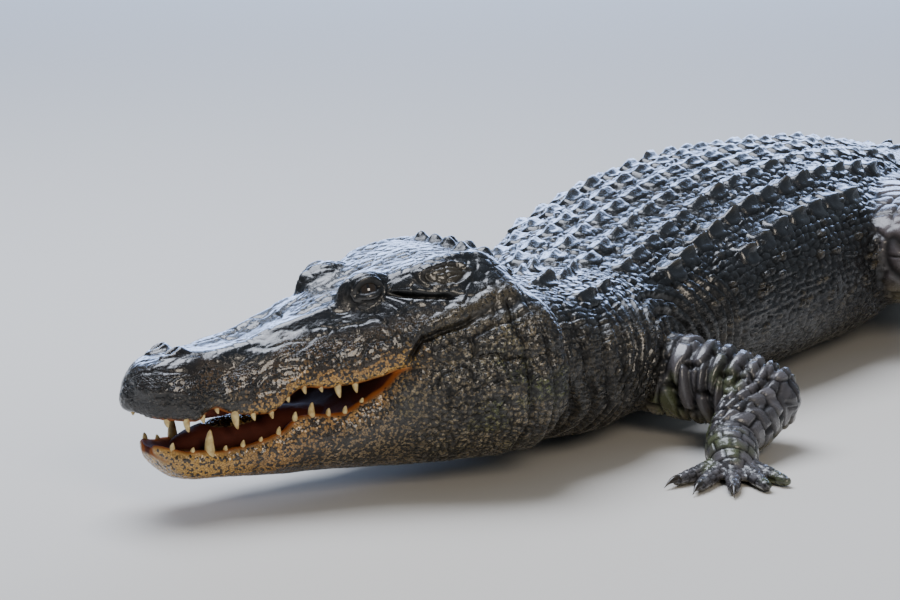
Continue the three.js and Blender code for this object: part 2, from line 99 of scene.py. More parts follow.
# Random number from 0 to 1 for each whole-number cell (..., d)
def hashed(cell, seed):
    primes = np.array([73856093, 19349663, 83492791], np.uint64)[:cell.shape[-1]]
    start = np.uint64(seed * 2654435761 % 2 ** 32)
    h = (cell.astype(np.int64).astype(np.uint64) * primes).sum(-1) + start
    h = (h ^ (h >> np.uint64(15))) * np.uint64(2246822519)
    h = (h ^ (h >> np.uint64(13))) * np.uint64(3266489917)
    h = h ^ (h >> np.uint64(16))
    return (h & np.uint64(0xFFFFFF)).astype(float) / 0xFFFFFF


# Smooth noise from -1 to 1 with lumps of the given size
def noise(points, size, seed=1):
    q = np.asarray(points) / size
    base = np.floor(q)
    w = q - base
    w = w * w * (3 - 2 * w)
    d = q.shape[-1]
    total = 0
    for corner in range(2 ** d):
        bits = np.array([(corner >> k) & 1 for k in range(d)])
        share = np.prod(np.where(bits, w, 1 - w), axis=-1)
        total = total + share * hashed(base + bits, seed)
    return total * 2 - 1


# Nearest and second nearest distance, and a number for the cell, of a scattered pattern
def cells(points, size, seed=1, jitter=0.8):
    q = np.asarray(points) / size
    base = np.floor(q)
    d = q.shape[-1]
    near = np.full(len(q), 9.0)
    second = near.copy()
    name = np.zeros(len(q))
    for corner in range(3 ** d):
        shift = np.array([(corner // 3 ** k) % 3 - 1 for k in range(d)])
        cell = base + shift
        spot = cell + 0.5 + jitter * (np.stack([hashed(cell, seed + 11 * k) for k in range(d)], -1) - 0.5)
        far = np.linalg.norm(q - spot, axis=-1)
        closer = far < near
        second = np.where(closer, near, np.minimum(second, far))
        near = np.where(closer, far, near)
        name = np.where(closer, hashed(cell, seed + 77), name)
    return near, second, name


# The animal's measures, in metres, as in the solids
spinePlan = [
    (-.770, -.035), (-.707, -.066), (-.640, -.088), (-.560, -.088), (-.470, -.062), (-.370, -.034),
    (-.200, -.008), (0, 0), (.200, 0), (.400, .005), (.600, .005), (.790, -.005), (.980, -.040),
    (1.170, -.120), (1.350, -.240), (1.520, -.380), (1.690, -.510), (1.880, -.600), (2.080, -.640),
    (2.230, -.645),
]
spineBefore = .070
bodyFullness = 2.25
# station behind the skull table: half width, top, bottom, height of the widest place
bodyRows = [
    (-.070, .112, .232, .070, .165), (0, .126, .250, .045, .150), (.090, .138, .236, .026, .140),
    (.180, .150, .224, .012, .128), (.285, .162, .218, .002, .120), (.400, .190, .229, -.004, .116),
    (.550, .222, .248, -.005, .116), (.700, .237, .270, -.005, .118), (.850, .236, .277, -.005, .118),
    (1.000, .208, .270, -.005, .114), (1.105, .172, .258, -.004, .110), (1.245, .138, .228, -.003, .098),
    (1.400, .112, .200, -.003, .090), (1.600, .088, .166, -.003, .078), (1.900, .060, .126, -.003, .062),
    (2.200, .043, .098, -.003, .050), (2.500, .029, .072, -.003, .037), (2.800, .017, .046, -.002, .024),
    (2.960, .010, .029, -.002, .015), (3.040, .005, .016, -.001, .008),
]
# back from the snout tip: top, shoulder and cheek half width and height, lip half width and height, palate
headRows = [
    (-.008, .038, .012, .034, .019, .022, .018, .008, .012),
    (0, .054, .021, .048, .033, .029, .031, .003, .010),
    (.012, .066, .030, .059, .047, .034, .047, 0, .009),
    (.030, .072, .038, .065, .057, .036, .058, -.002, .008),
    (.055, .076, .042, .067, .063, .038, .066, -.006, .008),
    (.082, .075, .042, .065, .056, .038, .061, .004, .012),
    (.110, .076, .044, .066, .060, .036, .065, -.008, .009),
    (.150, .079, .048, .068, .070, .036, .076, -.011, .008),
    (.195, .089, .052, .076, .078, .043, .084, .014, .022),
    (.240, .103, .056, .089, .084, .048, .090, .008, .020),
    (.285, .120, .060, .106, .095, .058, .100, .011, .020),
    (.325, .132, .068, .122, .110, .072, .115, .022, .0225),
    (.360, .140, .078, .136, .120, .084, .131, .025, .025),
    (.410, .148, .082, .143, .130, .088, .148, .025, .025),
    (.455, .148, .082, .141, .140, .086, .162, .022, .022),
    (.480, .140, .079, .131, .143, .082, .167, .020, .020),
    (.510, .108, .072, .096, .140, .070, .164, .018, .018),
    (.540, .086, .060, .074, .118, .056, .140, .016, .016),
    (.560, .054, .038, .046, .070, .036, .084, .014, .014),
]
# back from the snout tip: mouth floor, lip half width and height, side half width and height, keel
jawRows = [
    (.014, -.036, .019, -.031, .018, -.040, -.052), (.024, -.044, .038, -.035, .037, -.050, -.068),
    (.045, -.051, .054, -.043, .053, -.061, -.084), (.072, -.057, .058, -.046, .058, -.066, -.090),
    (.094, -.060, .057, -.050, .057, -.070, -.093), (.133, -.058, .066, -.046, .066, -.070, -.097),
    (.167, -.050, .076, -.036, .076, -.064, -.100), (.194, -.036, .080, -.020, .082, -.056, -.103),
    (.243, -.034, .086, -.026, .090, -.060, -.107), (.275, -.024, .093, -.014, .098, -.052, -.110),
    (.300, -.008, .100, -.002, .106, -.040, -.112), (.325, .0222, .115, .0217, .118, -.030, -.114),
    (.360, .0247, .131, .0247, .136, -.022, -.117), (.410, .0247, .148, .0247, .152, -.022, -.120),
    (.455, .0217, .162, .0217, .164, -.026, -.122), (.490, .019, .167, .019, .170, -.028, -.122),
    (.520, .0172, .160, .0172, .162, -.028, -.118), (.545, .0154, .132, .0154, .134, -.026, -.104),
    (.562, .0136, .080, .0136, .080, -.022, -.070),
]
tailParts = [1.245, 1.64, 2.08, 2.56, 3.04]  # stations where the tail's parts meet
mouthCorner = .325
eyeRadius = .017
eyePlace = (.306, .059, .115)
bodyAt, headAt, jawAt = tableCurve(bodyRows), tableCurve(headRows), tableCurve(jawRows)

# The spine as close samples: a station is the length along it behind the skull table
spinePoints = smoothCurve(spinePlan, np.linspace(0, 1, 2400))
spineSteps = np.linalg.norm(np.diff(spinePoints, axis=0), axis=1)
spineStations = np.concatenate([[0], np.cumsum(spineSteps)]) - spineBefore
spineTangents = unit(np.gradient(spinePoints, axis=0))


def spineAt(station):
    xy = np.stack([np.interp(station, spineStations, spinePoints[:, k]) for k in range(2)], -1)
    way = unit(np.stack([np.interp(station, spineStations, spineTangents[:, k]) for k in range(2)], -1))
    return xy, way


# Place on the skin at a station, the angle taken from the top towards the left side
def bodyPoint(station, angle):
    station, angle = np.broadcast_arrays(np.asarray(station, float), np.asarray(angle, float))
    halfWidth, top, bottom, widest = np.moveaxis(bodyAt(station), -1, 0)
    xy, way = spineAt(station)
    left = np.stack([way[..., 1], -way[..., 0]], -1)
    power = 2 / bodyFullness
    across = np.sign(np.sin(angle)) * np.abs(np.sin(angle)) ** power * halfWidth
    rise = np.abs(np.cos(angle)) ** power
    height = np.where(np.cos(angle) > 0, widest + rise * (top - widest), widest - rise * (widest - bottom))
    return np.concatenate([xy + left * across[..., None], height[..., None]], -1)


headTurn, headPitch, headRoll = math.radians(26), math.radians(3), math.radians(3)
headPlace = np.array([-.783, -.029, .149])
headJoint = .385
up = np.array([0, 0, 1.0])
ahead = np.array([-math.cos(headTurn), math.sin(headTurn), 0])
levelLeft = np.cross(up, ahead)
nose = ahead * math.cos(headPitch) - up * math.sin(headPitch)
crown = up * math.cos(headPitch) + ahead * math.sin(headPitch)
headLeft = levelLeft * math.cos(headRoll) + crown * math.sin(headRoll)
headUp = unit(-np.cross(headLeft, nose))


def headPoint(back, left, height):
    back, left, height = (np.asarray(v, float)[..., None] for v in (back, left, height))
    return headPlace + nose * (headJoint - back) + headLeft * left + headUp * height


def headMeasures(points):
    d = points - headPlace
    return headJoint - d @ nose, d @ headLeft, d @ headUp


# Closed tube through sections shaped (rings, sides, 3), as points and faces
def tube(sections):
    rings, sides = sections.shape[:2]
    points = np.concatenate([sections.reshape(-1, 3), sections[:1].mean(1), sections[-1:].mean(1)])
    i, j = np.meshgrid(np.arange(rings - 1), np.arange(sides), indexing="ij")
    k = (j + 1) % sides
    near, far = i * sides, (i + 1) * sides
    quads = np.stack([near + j, near + k, far + k, far + j], -1).reshape(-1, 4)
    j = np.arange(sides)
    k = (j + 1) % sides
    middle = np.full(sides, rings * sides)
    last = (rings - 1) * sides
    caps = np.concatenate([np.stack([k, j, middle], -1), np.stack([last + j, last + k, middle + 1], -1)])
    return points, quads.tolist() + caps.tolist()


def joined(pieces):
    points, faces, start = [], [], 0
    for some, theirs in pieces:
        points.append(some)
        faces += [[start + i for i in face] for face in theirs]
        start += len(some)
    return np.concatenate(points), faces


def meshObject(name, points, faces, smooth=True):
    mesh = bpy.data.meshes.new(name)
    mesh.from_pydata(points.tolist(), [], faces)
    if smooth:
        mesh.shade_smooth()
    mesh.update()
    piece = bpy.data.objects.new(name, mesh)
    bpy.context.scene.collection.objects.link(piece)
    return piece


def meshPoints(mesh):
    points = np.empty(len(mesh.vertices) * 3)
    mesh.vertices.foreach_get("co", points)
    return points.reshape(-1, 3)


def meshNormals(mesh):
    normals = np.empty(len(mesh.vertices) * 3)
    mesh.vertex_normals.foreach_get("vector", normals)
    return normals.reshape(-1, 3)


def movePoints(mesh, points):
    mesh.vertices.foreach_set("co", np.asarray(points, np.float32).ravel())
    mesh.update()


# Forms of the flesh
def mirroredRings(back, halves, sides):
    t = np.arange(sides) / sides
    side = np.where(t > 0.5, -1.0, 1.0)
    spots = smoothCurve(halves, 1 - np.abs(1 - 2 * t))
    return headPoint(np.asarray(back)[:, None] + np.zeros(sides), side * spots[..., 0], spots[..., 1])


def upperHead():
    back = np.concatenate([np.linspace(-.008, .02, 9), np.linspace(.024, .56, 135)])
    top, shoulder, shoulderUp, cheek, cheekUp, lip, lipUp, palate = headAt(back).T
    zero = 0 * back
    halves = [
        (zero, palate), (lip * 0.55, palate), (lip - .007, lipUp), (lip, lipUp + .009), (cheek, cheekUp),
        ((cheek + shoulder) / 2, (cheekUp + shoulderUp) / 2 + .004), (shoulder, shoulderUp),
        (shoulder / 2, top - .002), (zero, top),
    ]
    return tube(mirroredRings(back, np.stack([np.stack(h, -1) for h in halves], 1), 96))


def lowerJaw():
    back = np.linspace(.014, .562, 138)
    floor, lip, lipUp, side, sideUp, keel = jawAt(back).T
    zero = 0 * back
    halves = [
        (zero, keel), (side * 0.5, keel + .004), (side * 0.88, (keel + sideUp) / 2), (side, sideUp),
        (lip, lipUp - .010), (lip - .007, lipUp), (lip * 0.55, floor), (zero, floor),
    ]
    return tube(mirroredRings(back, np.stack([np.stack(h, -1) for h in halves], 1), 96))


def headBall(back, left, height, radii, tilt=0):
    v, u = np.meshgrid(np.linspace(0.02, math.pi - 0.02, 24), np.arange(40) / 40 * 2 * math.pi, indexing="ij")
    x, y, z = radii[0] * np.cos(v), radii[1] * np.sin(v) * np.cos(u), radii[2] * np.sin(v) * np.sin(u)
    x, z = x * math.cos(tilt) - z * math.sin(tilt), x * math.sin(tilt) + z * math.cos(tilt)
    return tube(headPoint(back + x, left + y, height + z))


def bodyForm():
    stations = np.concatenate([np.linspace(-.066, 1.25, 190), np.linspace(1.256, 3.04, 220)])
    angles = np.arange(112) / 112 * 2 * math.pi
    return tube(bodyPoint(stations[:, None], angles[None, :]))


def swell(radii, t):
    first, middle, last = radii
    return (1 - t) ** 2 * first + 2 * t * (1 - t) * (2 * middle - (first + last) / 2) + t * t * last


def limb(start, end, radii, sides=40, flat=1.0):
    start, end = np.array(start, float), np.array(end, float)
    axis = unit(end - start)
    length = np.linalg.norm(end - start)
    across = unit(np.cross(axis, up))
    over = np.cross(across, axis)
    bends = np.linspace(0, math.pi / 2, 9)[1:]
    middle = np.linspace(0, 1, max(6, int(length / .008)))
    distances = np.concatenate([
        -radii[0] * np.cos(bends - 0.02), middle * length, length + radii[2] * np.sin(bends),
    ])
    sizes = np.concatenate([
        radii[0] * np.sin(bends - 0.02), swell(radii, middle), radii[2] * np.maximum(np.cos(bends), 0.03),
    ])
    angles = np.arange(sides) / sides * 2 * math.pi
    ring = across * np.cos(angles)[:, None] + over * np.sin(angles)[:, None] * flat
    return tube(start + axis * distances[:, None, None] + ring[None] * sizes[:, None, None])


# shoulder or hip, elbow or knee, wrist or ankle, and the way the toes point
legs = [
    dict(side="left", pair="fore", joints=[(-.425, -.120, .098), (-.400, -.340, .068), (-.506, -.352, .036)],
         toes=(-.86, -.5)),
    dict(side="right", pair="fore", joints=[(-.425, .120, .098), (-.372, .322, .070), (-.474, .362, .036)],
         toes=(-.92, .4)),
    dict(side="left", pair="hind", joints=[(.405, -.080, .124), (.198, -.238, .148), (.410, -.345, .050)],
         toes=(-.8, -.6)),
    dict(side="right", pair="hind", joints=[(.430, .080, .122), (.270, .250, .118), (.478, .322, .050)],
         toes=(-.8, .6)),
]
legSizes = dict(
    fore=dict(upper=(.062, .056, .050), lower=(.044, .042, .033), toes=[.062, .078, .082, .074, .056],
              palm=.042, clawed=3, spread=1.5, web=0.3, claw=.024),
    hind=dict(upper=(.094, .092, .072), lower=(.062, .055, .040), toes=[.100, .128, .134, .112],
              palm=.056, clawed=3, spread=0.95, web=0.66, claw=.030),
)


def palmRadii(palm):
    return [palm * share for share in (.68, .82, .6)]


def toeRadii(palm):
    return [palm * share for share in (.27, .25, .17)]


def toesOf(leg):
    size = legSizes[leg["pair"]]
    ankle = np.array(leg["joints"][2])
    way = unit(np.array([*leg["toes"], 0]))
    outer = np.cross(way, up) * (-1 if leg["side"] == "left" else 1)
    palmEnd = ankle + way * size["palm"] * 1.45
    palmEnd[2] = .013
    toes = []
    for i, length in enumerate(size["toes"]):
        place = i / (len(size["toes"]) - 1) - 0.5
        along = way * math.cos(place * size["spread"]) + outer * math.sin(place * size["spread"])
        root = palmEnd + outer * place * size["palm"] * 1.35
        root[2] = .013
        tip = root + along * length
        tip[2] = .008
        toes.append((root, tip, along, i < size["clawed"]))
    return palmEnd, toes


def legForms(leg):
    size = legSizes[leg["pair"]]
    root, middle, last = leg["joints"]
    palmEnd, toes = toesOf(leg)
    palm = size["palm"]
    pieces = [limb(root, middle, size["upper"]), limb(middle, last, size["lower"]),
              limb(last, palmEnd, palmRadii(palm))]
    for i, (start, tip, along, _) in enumerate(toes):
        pieces.append(limb(start - along * palm * 0.3, tip, toeRadii(palm), 24))
        if i:
            before = toes[i - 1]
            share = np.linspace(0, size["web"], 8)
            edge = [before[0] + (before[1] - before[0]) * s for s in share]
            facing = [start + (tip - start) * s for s in share]
            rows = []
            for near, far in zip(edge, facing):
                strip = near + (far - near) * np.linspace(0, 1, 7)[:, None]
                lower, upper = strip.copy(), strip.copy()
                lower[:, 2], upper[:, 2] = .0005, .0065
                rows.append(np.concatenate([lower, upper[::-1]]))
            pieces.append(tube(np.array(rows)))
    return pieces


# A lens that widens the head region before the skin is built, so that the head gets the finest skin
skinStyle = dict(cell=.0046, headCell=.0019, lensBack=.25, lensReach=.34)  # metres
lensCentre = headPoint(skinStyle["lensBack"], 0, .02)
lensPower = skinStyle["cell"] / skinStyle["headCell"]
lensReal = np.array([0, skinStyle["lensReach"], skinStyle["lensReach"] * 1.6, 6])
lensWide = np.array([0, lensReal[1] * lensPower, 0, 0])
lensWide[2] = lensWide[1] + (lensReal[2] - lensReal[1]) * (1 + lensPower) / 2
lensWide[3] = lensWide[2] + lensReal[3] - lensReal[2]


def lens(points, source, target):
    d = points - lensCentre
    far = np.linalg.norm(d, axis=1)
    return lensCentre + d * (np.interp(far, source, target) / np.maximum(far, 1e-6))[:, None]


# Rounded forms added to the head: place back, off the middle for pairs, up, then radii and tilt
pairedBalls = [
    (.312, .050, .106, (.044, .027, .034)),  # brow
    (.056, .021, .066, (.020, .013, .015)),  # nostril mound
    (.398, .086, .127, (.040, .009, .016), -0.05),  # ear flap
]
middleBalls = [
    (.004, .025, (.019, .024, .020)),  # snout tip
    (.112, .002, (.094, .045, .019)),  # palate
    (.165, -.044, (.118, .040, .024)),  # tongue
]


def buildSkin():
    pieces = [bodyForm(), upperHead(), lowerJaw()]
    pieces += [headBall(back, side * left, *rest) for side in (-1, 1) for back, left, *rest in pairedBalls]
    pieces += [headBall(back, 0, *rest) for back, *rest in middleBalls]
    for leg in legs:
        pieces += legForms(leg)
    points, faces = joined(pieces)
    skin = meshObject("skin", lens(points, lensReal, lensWide), faces)
    remesh = skin.modifiers.new("remesh", "REMESH")
    remesh.mode = "VOXEL"
    remesh.voxel_size = skinStyle["cell"] * 1
    remesh.use_smooth_shade = True
    bpy.context.view_layer.objects.active = skin
    bpy.ops.object.modifier_apply(modifier="remesh")
    points = lens(meshPoints(skin.data), lensWide, lensReal)
    movePoints(skin.data, points)
    print("skin:", len(points), "points")
    return skin


skin = buildSkin()


# Where each point of the skin is on the animal
def bodyMeasures(points):
    coarse = slice(None, None, 12)
    xy, stations, ways = spinePoints[coarse], spineStations[coarse], spineTangents[coarse]
    near = np.empty(len(points), int)
    atOnce = 40000
    for start in range(0, len(points), atOnce):
        part = points[start:start + atOnce, :2]
        near[start:start + atOnce] = np.argmin(((part[:, None, :] - xy[None]) ** 2).sum(-1), 1)
    d = points[:, :2] - xy[near]
    station = stations[near] + (d * ways[near]).sum(1)
    left = d[:, 0] * ways[near, 1] - d[:, 1] * ways[near, 0]
    halfWidth, top, bottom, widest = bodyAt(np.clip(station, -.07, 3.04)).T
    height = points[:, 2] - widest
    room = np.where(height > 0, top - widest, widest - bottom)
    fill = np.abs(left / halfWidth) ** bodyFullness + np.abs(height / room) ** bodyFullness
    fill = fill ** (1 / bodyFullness)
    angle = np.arctan2(left / halfWidth, height / room)
    return station, left, angle, fill, halfWidth


# The nearest leg: how far along it (0 to 3), angle round it, distance from its surface and its number
def legMeasures(points):
    along = np.zeros(len(points))
    angle = np.zeros(len(points))
    off = np.full(len(points), 9.0)
    which = np.zeros(len(points), int)
    for n, leg in enumerate(legs):
        size = legSizes[leg["pair"]]
        palmEnd, toes = toesOf(leg)
        spans = [(*leg["joints"][:2], size["upper"], 0), (*leg["joints"][1:], size["lower"], 1)]
        spans.append((leg["joints"][2], palmEnd, palmRadii(size["palm"]), 2))
        spans += [(root, tip, toeRadii(size["palm"]), 3) for root, tip, _, _ in toes]
        for start, end, radii, base in spans:
            start, end = np.array(start, float), np.array(end, float)
            axis = unit(end - start)
            length = np.linalg.norm(end - start)
            reach = (points - start) @ axis / length
            t = np.clip(reach, 0, 1)
            d = points - (start + axis * (t * length)[:, None])
            away = np.linalg.norm(d, axis=1) - swell(radii, t)
            across = unit(np.cross(axis, up))
            closer = np.abs(away) < np.abs(off)
            turn = np.arctan2(d @ np.cross(across, axis), d @ across)
            along = np.where(closer, base + np.clip(reach, -0.3, 1.3), along)
            angle = np.where(closer, turn, angle)
            off = np.where(closer, away, off)
            which = np.where(closer, n, which)
    return along, angle, off, which


# Rounded plates with seams between: height from 0 in the seam to 1, and the plate's own number
def plates(points, size, seed, jitter=0.7, seam=0.25):
    near, second, name = cells(points, size, seed, jitter)
    return step(0, seam, second - near) * (1 - 0.5 * near ** 2), name


def bricks(u, v, seed, seam=0.16):
    row = np.floor(u)
    v = v + 0.5 * (row % 2)
    cell = np.stack([row, np.floor(v)], -1)
    acrossEdge = np.minimum(v - cell[:, 1], 1 - v + cell[:, 1]) * 1.3
    edge = np.minimum(np.minimum(u - row, 1 - u + row), acrossEdge)
    return step(0, seam, edge), hashed(cell, seed)


def srgb(text):
    value = np.array([int(text[i:i + 2], 16) / 255 for i in (0, 2, 4)])
    return np.where(value < .04045, value / 12.92, ((value + .055) / 1.055) ** 2.4)


def mix(colours, other, share):
    return colours + (other - colours) * share[:, None]


# What a user would change on the skin: colours, and the sizes of scales and folds in metres
skinLook = dict(
    # seam: colour of the dark joints between scales and of the painted shade in creases, folds, grooves, pits
    # and round the eyes
    back="15171a", flank="1b1916", belly="8f876c", seam="050505", arm="5c595c", thigh="5f5758",
    tan="cc9c58", lipYellow="dfb052", jowl="a09070", algae="525e22", snout="1b1511", side="2b2723",
    speck="0c0a08", mouth="50281f", gum="9a5526", ridge="5d5138", bare="9a9890",
    lipScale=.0062, jowlScale=.0105, crownScale=.014, flankScale=.019, limbScale=.016, bendScale=.027,
    lipRelief=.0009, jowlRelief=.0019, crownRelief=.0013, flankRelief=.0031, bandRelief=.0050,
    snoutCrease=.0012, snoutPit=.0006, cheekFold=.0018, flankKnob=.0045, foldDepth=.0048,
)


# A pattern worked out only where it shows
def patternWhere(share, pattern, points, *rest):
    chosen = share > 0.01
    height, name = np.ones(len(points)), np.zeros(len(points))
    height[chosen], name[chosen] = pattern(points[chosen], *rest)
    return height, name


# Lets the points settle between their neighbours
def relax(mesh, points, share, rounds):
    ends = np.empty(len(mesh.edges) * 2, np.int32)
    mesh.edges.foreach_get("vertices", ends)
    a, b = ends.reshape(-1, 2).T
    share = np.where(share > 0.01, share, 0)
    used = (share[a] > 0) | (share[b] > 0)
    a, b = a[used], b[used]
    many = len(points)
    count = np.maximum(np.bincount(a, minlength=many) + np.bincount(b, minlength=many), 1)
    for _ in range(rounds):
        total = [np.bincount(a, points[b, k], many) + np.bincount(b, points[a, k], many) for k in range(3)]
        points = points + (np.stack(total, -1) / count[:, None] - points) * share[:, None]
    return points


def creases(points, size, seed, width=0.12):
    return bell(noise(points, size, seed), 0, width)


# Everything that is measured once for each point of the skin
def measureSkin(points, normals):
    back, left, height = headMeasures(points)
    station, across, angle, fill, halfWidth = bodyMeasures(points)
    along, turn, off, which = legMeasures(points)
    m = dict(points=points, back=back, left=left, hand=np.abs(left), height=height, station=station,
             across=across, angle=angle, fill=fill, along=along, turn=turn, off=off, which=which)
    m["arc"] = angle * (halfWidth + .1) * 0.8
    m["crown"], m["down"] = normals @ headUp, -normals[:, 2]
    m["head"] = 1 - step(.515, .575, back + .04 * step(.10, .13, height))
    m["leg"] = (1 - step(.008, .03, np.abs(off))) * step(1.0, 1.07, fill) * (1 - m["head"])
    m["body"] = (1 - m["head"]) * (1 - m["leg"])
    m["headPoints"] = np.stack([back, left, height], -1)
    lip, lipUp, palate = headAt(np.clip(back, -.008, .56)).T[5:]
    floor, jawLip, jawLipUp = jawAt(np.clip(back, .014, .562)).T[:3]
    m["upper"] = upper = height > (lipUp + jawLipUp) / 2
    edge = np.where(upper, lip, jawLip) - m["hand"]
    inner = step(.001, .007, edge) * (1 - step(mouthCorner - .002, mouthCorner + .012, back))
    inner = inner * step(-.9, -.4, m["crown"] * np.where(upper, -1, 1)) * (back > .008) * (height < .034)
    roof = height < np.maximum(palate, lipUp + .012) + .006
    m["inner"] = inner * np.where(upper, roof, step(-.015, -.009, height - floor))
    m["edge"], m["dry"] = edge, 1 - m["inner"]
    m["lipBand"] = np.where(upper, height - lipUp, jawLipUp - height)
    dryHead = m["head"] * m["dry"]
    m["lipZone"] = dryHead * upper * (1 - step(.014, .038, m["lipBand"])) * (1 - step(.32, .37, back))
    m["jawZone"] = dryHead * (height < jawLipUp + .006) * (1 - step(.28, .37, back))
    m["jowl"] = dryHead * step(.29, .37, back) * (1 - step(.050, .085, height))
    m["top"] = dryHead * np.clip(1 - m["lipZone"] - m["jawZone"] - m["jowl"], 0, 1)
    return m


# Relief of the head
def headScales(m, look):
    back, height, at = m["back"], m["height"], m["headPoints"]
    top, jowl = m["top"], m["jowl"]
    lips = np.maximum(m["lipZone"], m["jawZone"])
    skull = top * step(.27, .36, back)
    snout = top * (1 - step(.27, .36, back))
    cheek = top * bell(back, .31, .06) * (1 - step(.07, .10, height))
    lipScales = patternWhere(lips, plates, at, look["lipScale"], 3, 0.85, 0.3)[0]
    taller = at * [1, 1, 1.15]
    jowlScales, m["jowlName"] = patternWhere(jowl, plates, taller, look["jowlScale"], 5, 0.85, 0.28)
    lumps, lumpName = patternWhere(skull, plates, at * [.85, 1, 1], look["crownScale"], 7, 0.95, 0.25)
    long = creases(at * [.42, 1, 1], .0125, 21, 0.16)
    fold = creases(at * [1.5, 1, .5], .0125, 22, 0.15)
    pits = creases(at * [.8, 1, 1], .0080, 23, 0.12)
    move = lips * (lipScales - 0.7) * look["lipRelief"] + jowl * (jowlScales - 0.7) * look["jowlRelief"]
    move += skull * (1 - cheek) * (lumps - 0.7) * look["crownRelief"] * (0.6 + 0.9 * lumpName)
    move -= snout * (long * look["snoutCrease"] + pits * look["snoutPit"]) + cheek * fold * look["cheekFold"]
    move += snout * (noise(at, .020, 24) * .0016 + noise(at * [.6, 1, 1], .036, 25) * .0024)
    move += m["head"] * m["dry"] * noise(at, .030, 26) * .0010
    # dark joints between the scales, and painted shade in the snout creases and cheek folds
    seamsAndShade = lips * (1 - lipScales) * 0.25 + jowl * (1 - jowlScales) * 0.8 + skull * (1 - lumps) * 0.4
    return move, seamsAndShade + snout * long * 0.35 + cheek * fold * 0.5


# Ridges and hollows of the head: place and reach back from the snout tip, off the middle line and upwards,
# the height and the distance off the middle that they start from, and how far they rise
headShapes = [
    dict(back=(.235, .060), side=(.045, .008), lean=.20, above=.06, rise=.0055),  # ridge before each eye
    dict(back=(.425, .060), side=(.078, .008), above=.12, rise=.0035),  # edge of the skull table
    dict(back=(.135, .045), side=(.036, .011), above=.05, rise=.0040),  # shoulder of the snout
    dict(back=(.170, .085), side=(0, .017), above=.05, rise=-.0040),  # hollow along the snout
    dict(back=(.305, .035), side=(0, .018), above=.10, rise=-.0050),  # hollow between the eyes
    dict(back=(.195, .030), up=(.052, .014), outside=.04, rise=.0040),  # swelling over the long back teeth
    dict(back=(.100, .030), up=(.040, .016), outside=.03, rise=-.0030),  # waist behind the nostrils
]


def headForms(m):
    back, hand, height = m["back"], m["hand"], m["height"]
    move = 0 * back
    for shape in headShapes:
        place, reach = shape["back"]
        share = bell(back, place, reach)
        if "side" in shape:
            middle, width = shape["side"]
            share = share * bell(hand, middle + (back - place) * shape.get("lean", 0), width)
        if "up" in shape:
            share = share * bell(height, *shape["up"])
        inside = (height > shape.get("above", -1)) & (hand > shape.get("outside", -1))
        move += m["head"] * m["dry"] * share * inside * shape["rise"]
    return move, 0 * back


# Mouth corner: a groove that climbs back, ridges beside it, the jaw muscle and its wrinkles under it
cornerLook = dict(
    place=.345, height=.057, climb=.24, drop=1.2, deep=.0068, secondBelow=.017, secondDeep=.0028, ridge=.0042,
    muscle=.0090, cushion=.0040, wrinkleDeep=.0028,
)


def mouthCornerFolds(m):
    look = cornerLook
    back, height, head, at = m["back"], m["height"], m["head"], m["headPoints"]
    wide = m["hand"] > .05
    groove = look["height"] + np.clip(back - look["place"], 0, .2) * look["climb"]
    groove = groove - np.clip(look["place"] - back, 0, .04) * look["drop"] + noise(at, .022, 27) * .0045
    line = head * step(.318, .335, back) * (1 - step(.45, .52, back)) * wide
    fading = 1 - 0.55 * step(.385, .45, back)
    second = groove - look["secondBelow"]
    move = -line * bell(height, groove, .0045) * look["deep"] * fading
    move -= line * bell(height, second, .0028) * look["secondDeep"] * step(.34, .38, back)
    move += line * bell(height, groove + .015, .0085) * look["ridge"]
    move += head * bell(back, .415, .055) * bell(height, -.005, .042) * wide * look["muscle"]
    move += head * bell(back, .350, .016) * bell(height, .030, .014) * wide * look["cushion"]
    # painted shade along the groove and the line below it
    seamsAndShade = line * (bell(height, groove, .0040) * fading + 0.5 * bell(height, second, .0025)) * 0.8
    m["ridge"] = line * bell(height, groove + .012, .008)
    m["muscle"] = head * bell(back, .43, .06) * bell(height, .0, .04)
    wrinkle = creases(np.stack([back * .45, height - (back - .35) * .25], -1), .017, 36, 0.15) * m["jowl"]
    wrinkle = wrinkle * step(.335, .36, back) * (1 - step(.44, .48, back)) * step(-.07, -.03, height)
    # painted shade in the wrinkles under the corner
    return move - wrinkle * look["wrinkleDeep"], seamsAndShade + wrinkle * 0.55


# Folds behind the jaw: place, lean and depth of each
jawFolds = [(.462, .06, .0038), (.490, .132, .0052), (.520, .18, .0052)]


def foldsBehindJaw(m):
    back, height = m["back"], m["height"]
    zone = step(.40, .46, back) * (1 - step(.57, .60, back)) * (1 - step(.075, .105, height))
    move, seamsAndShade = 0 * back, 0 * back
    for number, (place, lean, deep) in enumerate(jawFolds):
        track = place + lean * (.09 - height) + noise(m["headPoints"], .03, 28 + number) * .005
        move -= zone * bell(back, track, .0042) * deep
        move += zone * bell(back, track - .011, .0075) * deep * 0.6
        # painted shade in each fold
        seamsAndShade += zone * bell(back, track, .0035) * 0.5
    return move, seamsAndShade


# Lips bulge between the teeth
lipWave = dict(pitch=.022, rise=.0012, lowerShift=.009)


def lipScallops(m):
    back = m["back"]
    move = 0 * back
    for zone, shift in ((m["lipZone"], 0), (m["jawZone"] * (back < .31), lipWave["lowerShift"])):
        wave = np.cos((back - .022 - shift) * 2 * math.pi / lipWave["pitch"])
        move -= zone * bell(m["lipBand"], .004, .007) * wave * lipWave["rise"]
    return move, 0 * back


# Ear: a slit that falls a little to the back, painted dark as shade, under an oval flap with a rim
earLook = dict(place=(.398, .127), size=(.036, .0135), rim=.0020, moat=.0016, bulge=.0034, slit=.0095)


def earFlap(m):
    (back, height), (long, tall) = earLook["place"], earLook["size"]
    return np.hypot((m["back"] - back) / long, (m["height"] - height) / tall)


